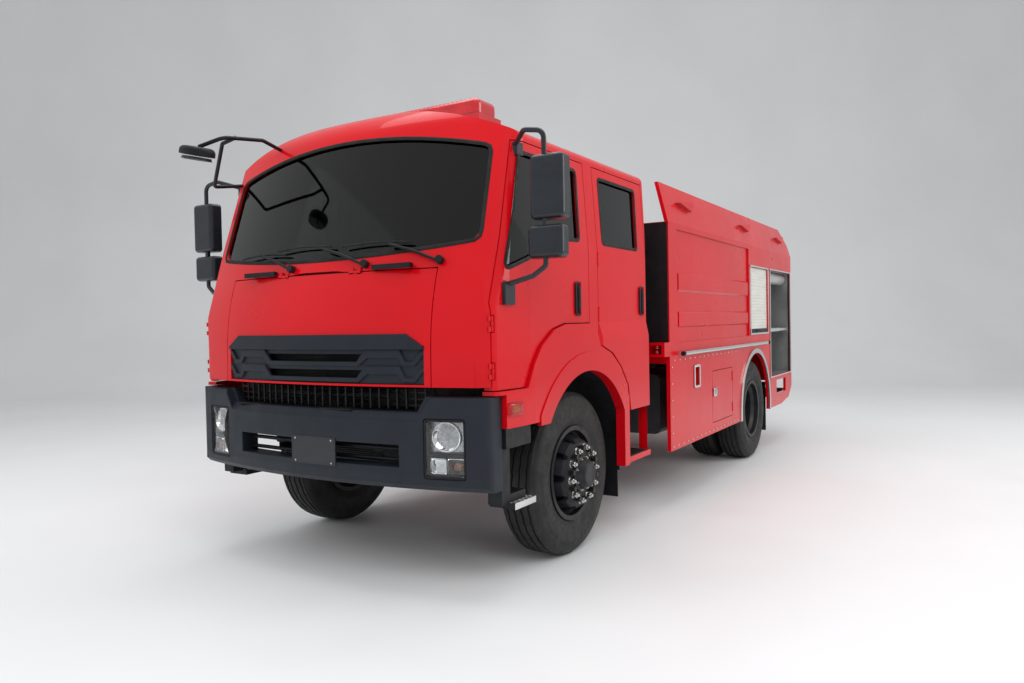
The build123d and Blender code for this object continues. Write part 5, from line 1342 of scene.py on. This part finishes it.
class FIRETRUCK_OT_stage(bpy.types.Operator):
    """Sets up the floor, the soft lights and the camera at the photograph's angle"""

    bl_idname = "fire_truck.stage"
    bl_label = "Stage"

    def execute(self, context):
        self.floor()
        self.camera()
        self.light("key_light", (6.5, -7.5, 7.5), (0, -1, 1), 6.0, 420, (1, 1, 1))
        self.light("side_light", (9.0, 3.0, 5.0), (0, 1, 1.2), 6.0, 330, (1, 0.99, 0.97))
        self.light("top_light", (0.0, -1.0, 9.0), (0, 0, 1), 8.0, 420, (1, 1, 1))
        self.light("front_light", (-6.0, -9.0, 5.0), (0, -3, 1), 5.0, 260, (1, 1, 1))
        world = context.scene.world or bpy.data.worlds.new("studio")
        context.scene.world = world
        world.use_nodes = True
        sky = world.node_tree.nodes["Background"]
        sky.inputs["Color"].default_value = (0.93, 0.94, 0.95, 1)
        sky.inputs["Strength"].default_value = 0.62
        context.scene.view_settings.view_transform = "Standard"
        return {"FINISHED"}

    def floor(self):
        """A floor that rises far behind the truck into a backdrop: a flat and a quarter arc."""
        bend = np.linspace(0, math.pi / 2, 13)
        run = np.concatenate([[-22, -4, 4], 9 + 6 * np.sin(bend), [15]])
        rise = np.concatenate([[0, 0, 0], 6 - 6 * np.cos(bend), [14]])
        across = np.linspace(-26, 26, 9)
        shape = (len(run), len(across))
        points = np.stack([
            np.broadcast_to(across, shape), np.broadcast_to(run[:, None], shape),
            np.broadcast_to(rise[:, None], shape)], axis=-1)
        vertices, faces = grid(points)
        turned = vertices @ np.array(turn_about("Z", 31.5)).T - (0, 0, 0.0005)
        mesh = bpy.data.meshes.new("floor")
        mesh.from_pydata(turned.tolist(), [], faces)
        mesh.polygons.foreach_set("use_smooth", np.ones(len(mesh.polygons), bool))
        floor = bpy.data.objects.new("floor", mesh)
        bpy.context.scene.collection.objects.link(floor)
        ground = Finish("studio_floor", (0.74, 0.75, 0.76), 0.5)
        ground.mottled(0.4, 0.97, 1.03).uneven(2.0, 0.5, 0.65)
        mesh.materials.append(ground.material)

    def camera(self):
        """The camera where the photograph was taken from."""
        data = bpy.data.cameras.new("photo_camera")
        data.sensor_width = 36.0
        data.lens = FOCAL_PIXELS / PHOTO_WIDTH * data.sensor_width
        camera = bpy.data.objects.new("photo_camera", data)
        bpy.context.scene.collection.objects.link(camera)
        yaw, pitch, roll = (math.radians(a) for a in CAMERA_TURNS)
        ahead = np.array([-math.sin(yaw) * math.cos(pitch), math.cos(yaw) * math.cos(pitch),
                          math.sin(pitch)])
        right = np.cross(ahead, (0, 0, 1))
        right /= np.linalg.norm(right)
        up = np.cross(right, ahead)
        r = right * math.cos(roll) + up * math.sin(roll)
        u = -right * math.sin(roll) + up * math.cos(roll)
        matrix = np.eye(4)
        matrix[:3, 0], matrix[:3, 1], matrix[:3, 2] = r, u, -ahead
        matrix[:3, 3] = np.add(CAMERA_PLACE, (0, AXLE_Y, 0))
        camera.matrix_world = matrix.T.tolist()
        data.clip_end = 200
        bpy.context.scene.camera = camera

    def light(self, name, place, target, size, power, colour):
        """A soft square light that looks at a point. Two lights don't show in reflections."""
        data = bpy.data.lights.new(name, "AREA")
        data.shape, data.size, data.energy, data.color = "SQUARE", size, power, colour
        lamp = bpy.data.objects.new(name, data)
        lamp.visible_glossy = name not in ("key_light", "front_light")
        bpy.context.scene.collection.objects.link(lamp)
        lamp.location = place
        way = np.array(target, float) - np.array(place, float)
        flat = math.hypot(way[0], way[1])
        lamp.rotation_euler = (math.atan2(flat, -way[2]), 0, math.atan2(-way[0], way[1]))


OPERATORS = (
    FIRETRUCK_OT_stage,
    FIRETRUCK_OT_finishes,
    FIRETRUCK_OT_tyres,
    FIRETRUCK_OT_wheel_fittings,
    FIRETRUCK_OT_window_seals,
    FIRETRUCK_OT_headlamps,
    FIRETRUCK_OT_side_lamps,
    FIRETRUCK_OT_front_details,
    FIRETRUCK_OT_mirrors,
    FIRETRUCK_OT_cab_details,
    FIRETRUCK_OT_shutters,
    FIRETRUCK_OT_locker,
    FIRETRUCK_OT_body_details,
    FIRETRUCK_OT_tail,
    FIRETRUCK_OT_seats,
)


class FIRETRUCK_PT_panel(bpy.types.Panel):
    """The truck's settings and pieces in the sidebar"""

    bl_idname = "FIRETRUCK_PT_panel"
    bl_label = "Fire truck"
    bl_space_type = "VIEW_3D"
    bl_region_type = "UI"
    bl_category = "Fire truck"

    def draw(self, context):
        for settings in (context.scene.truck_sizes, context.scene.truck_colours):
            for name in settings.__annotations__:
                self.layout.prop(settings, name)
        for operator in OPERATORS:
            self.layout.operator(operator.bl_idname)


CLASSES = (TruckSizes, TruckColours, *OPERATORS, FIRETRUCK_PT_panel)


def register():
    """Registers the classes and the settings."""
    for cls in CLASSES:
        bpy.utils.register_class(cls)
    bpy.types.Scene.truck_sizes = bpy.props.PointerProperty(type=TruckSizes)
    bpy.types.Scene.truck_colours = bpy.props.PointerProperty(type=TruckColours)


def unregister():
    """Takes the settings and the classes away again."""
    del bpy.types.Scene.truck_colours
    del bpy.types.Scene.truck_sizes
    for cls in reversed(CLASSES):
        bpy.utils.unregister_class(cls)


def main():
    """Builds the whole truck."""
    register()
    for operator in OPERATORS:
        group, name = operator.bl_idname.split(".")
        getattr(getattr(bpy.ops, group), name)()


if __name__ == "__main__":
    main()
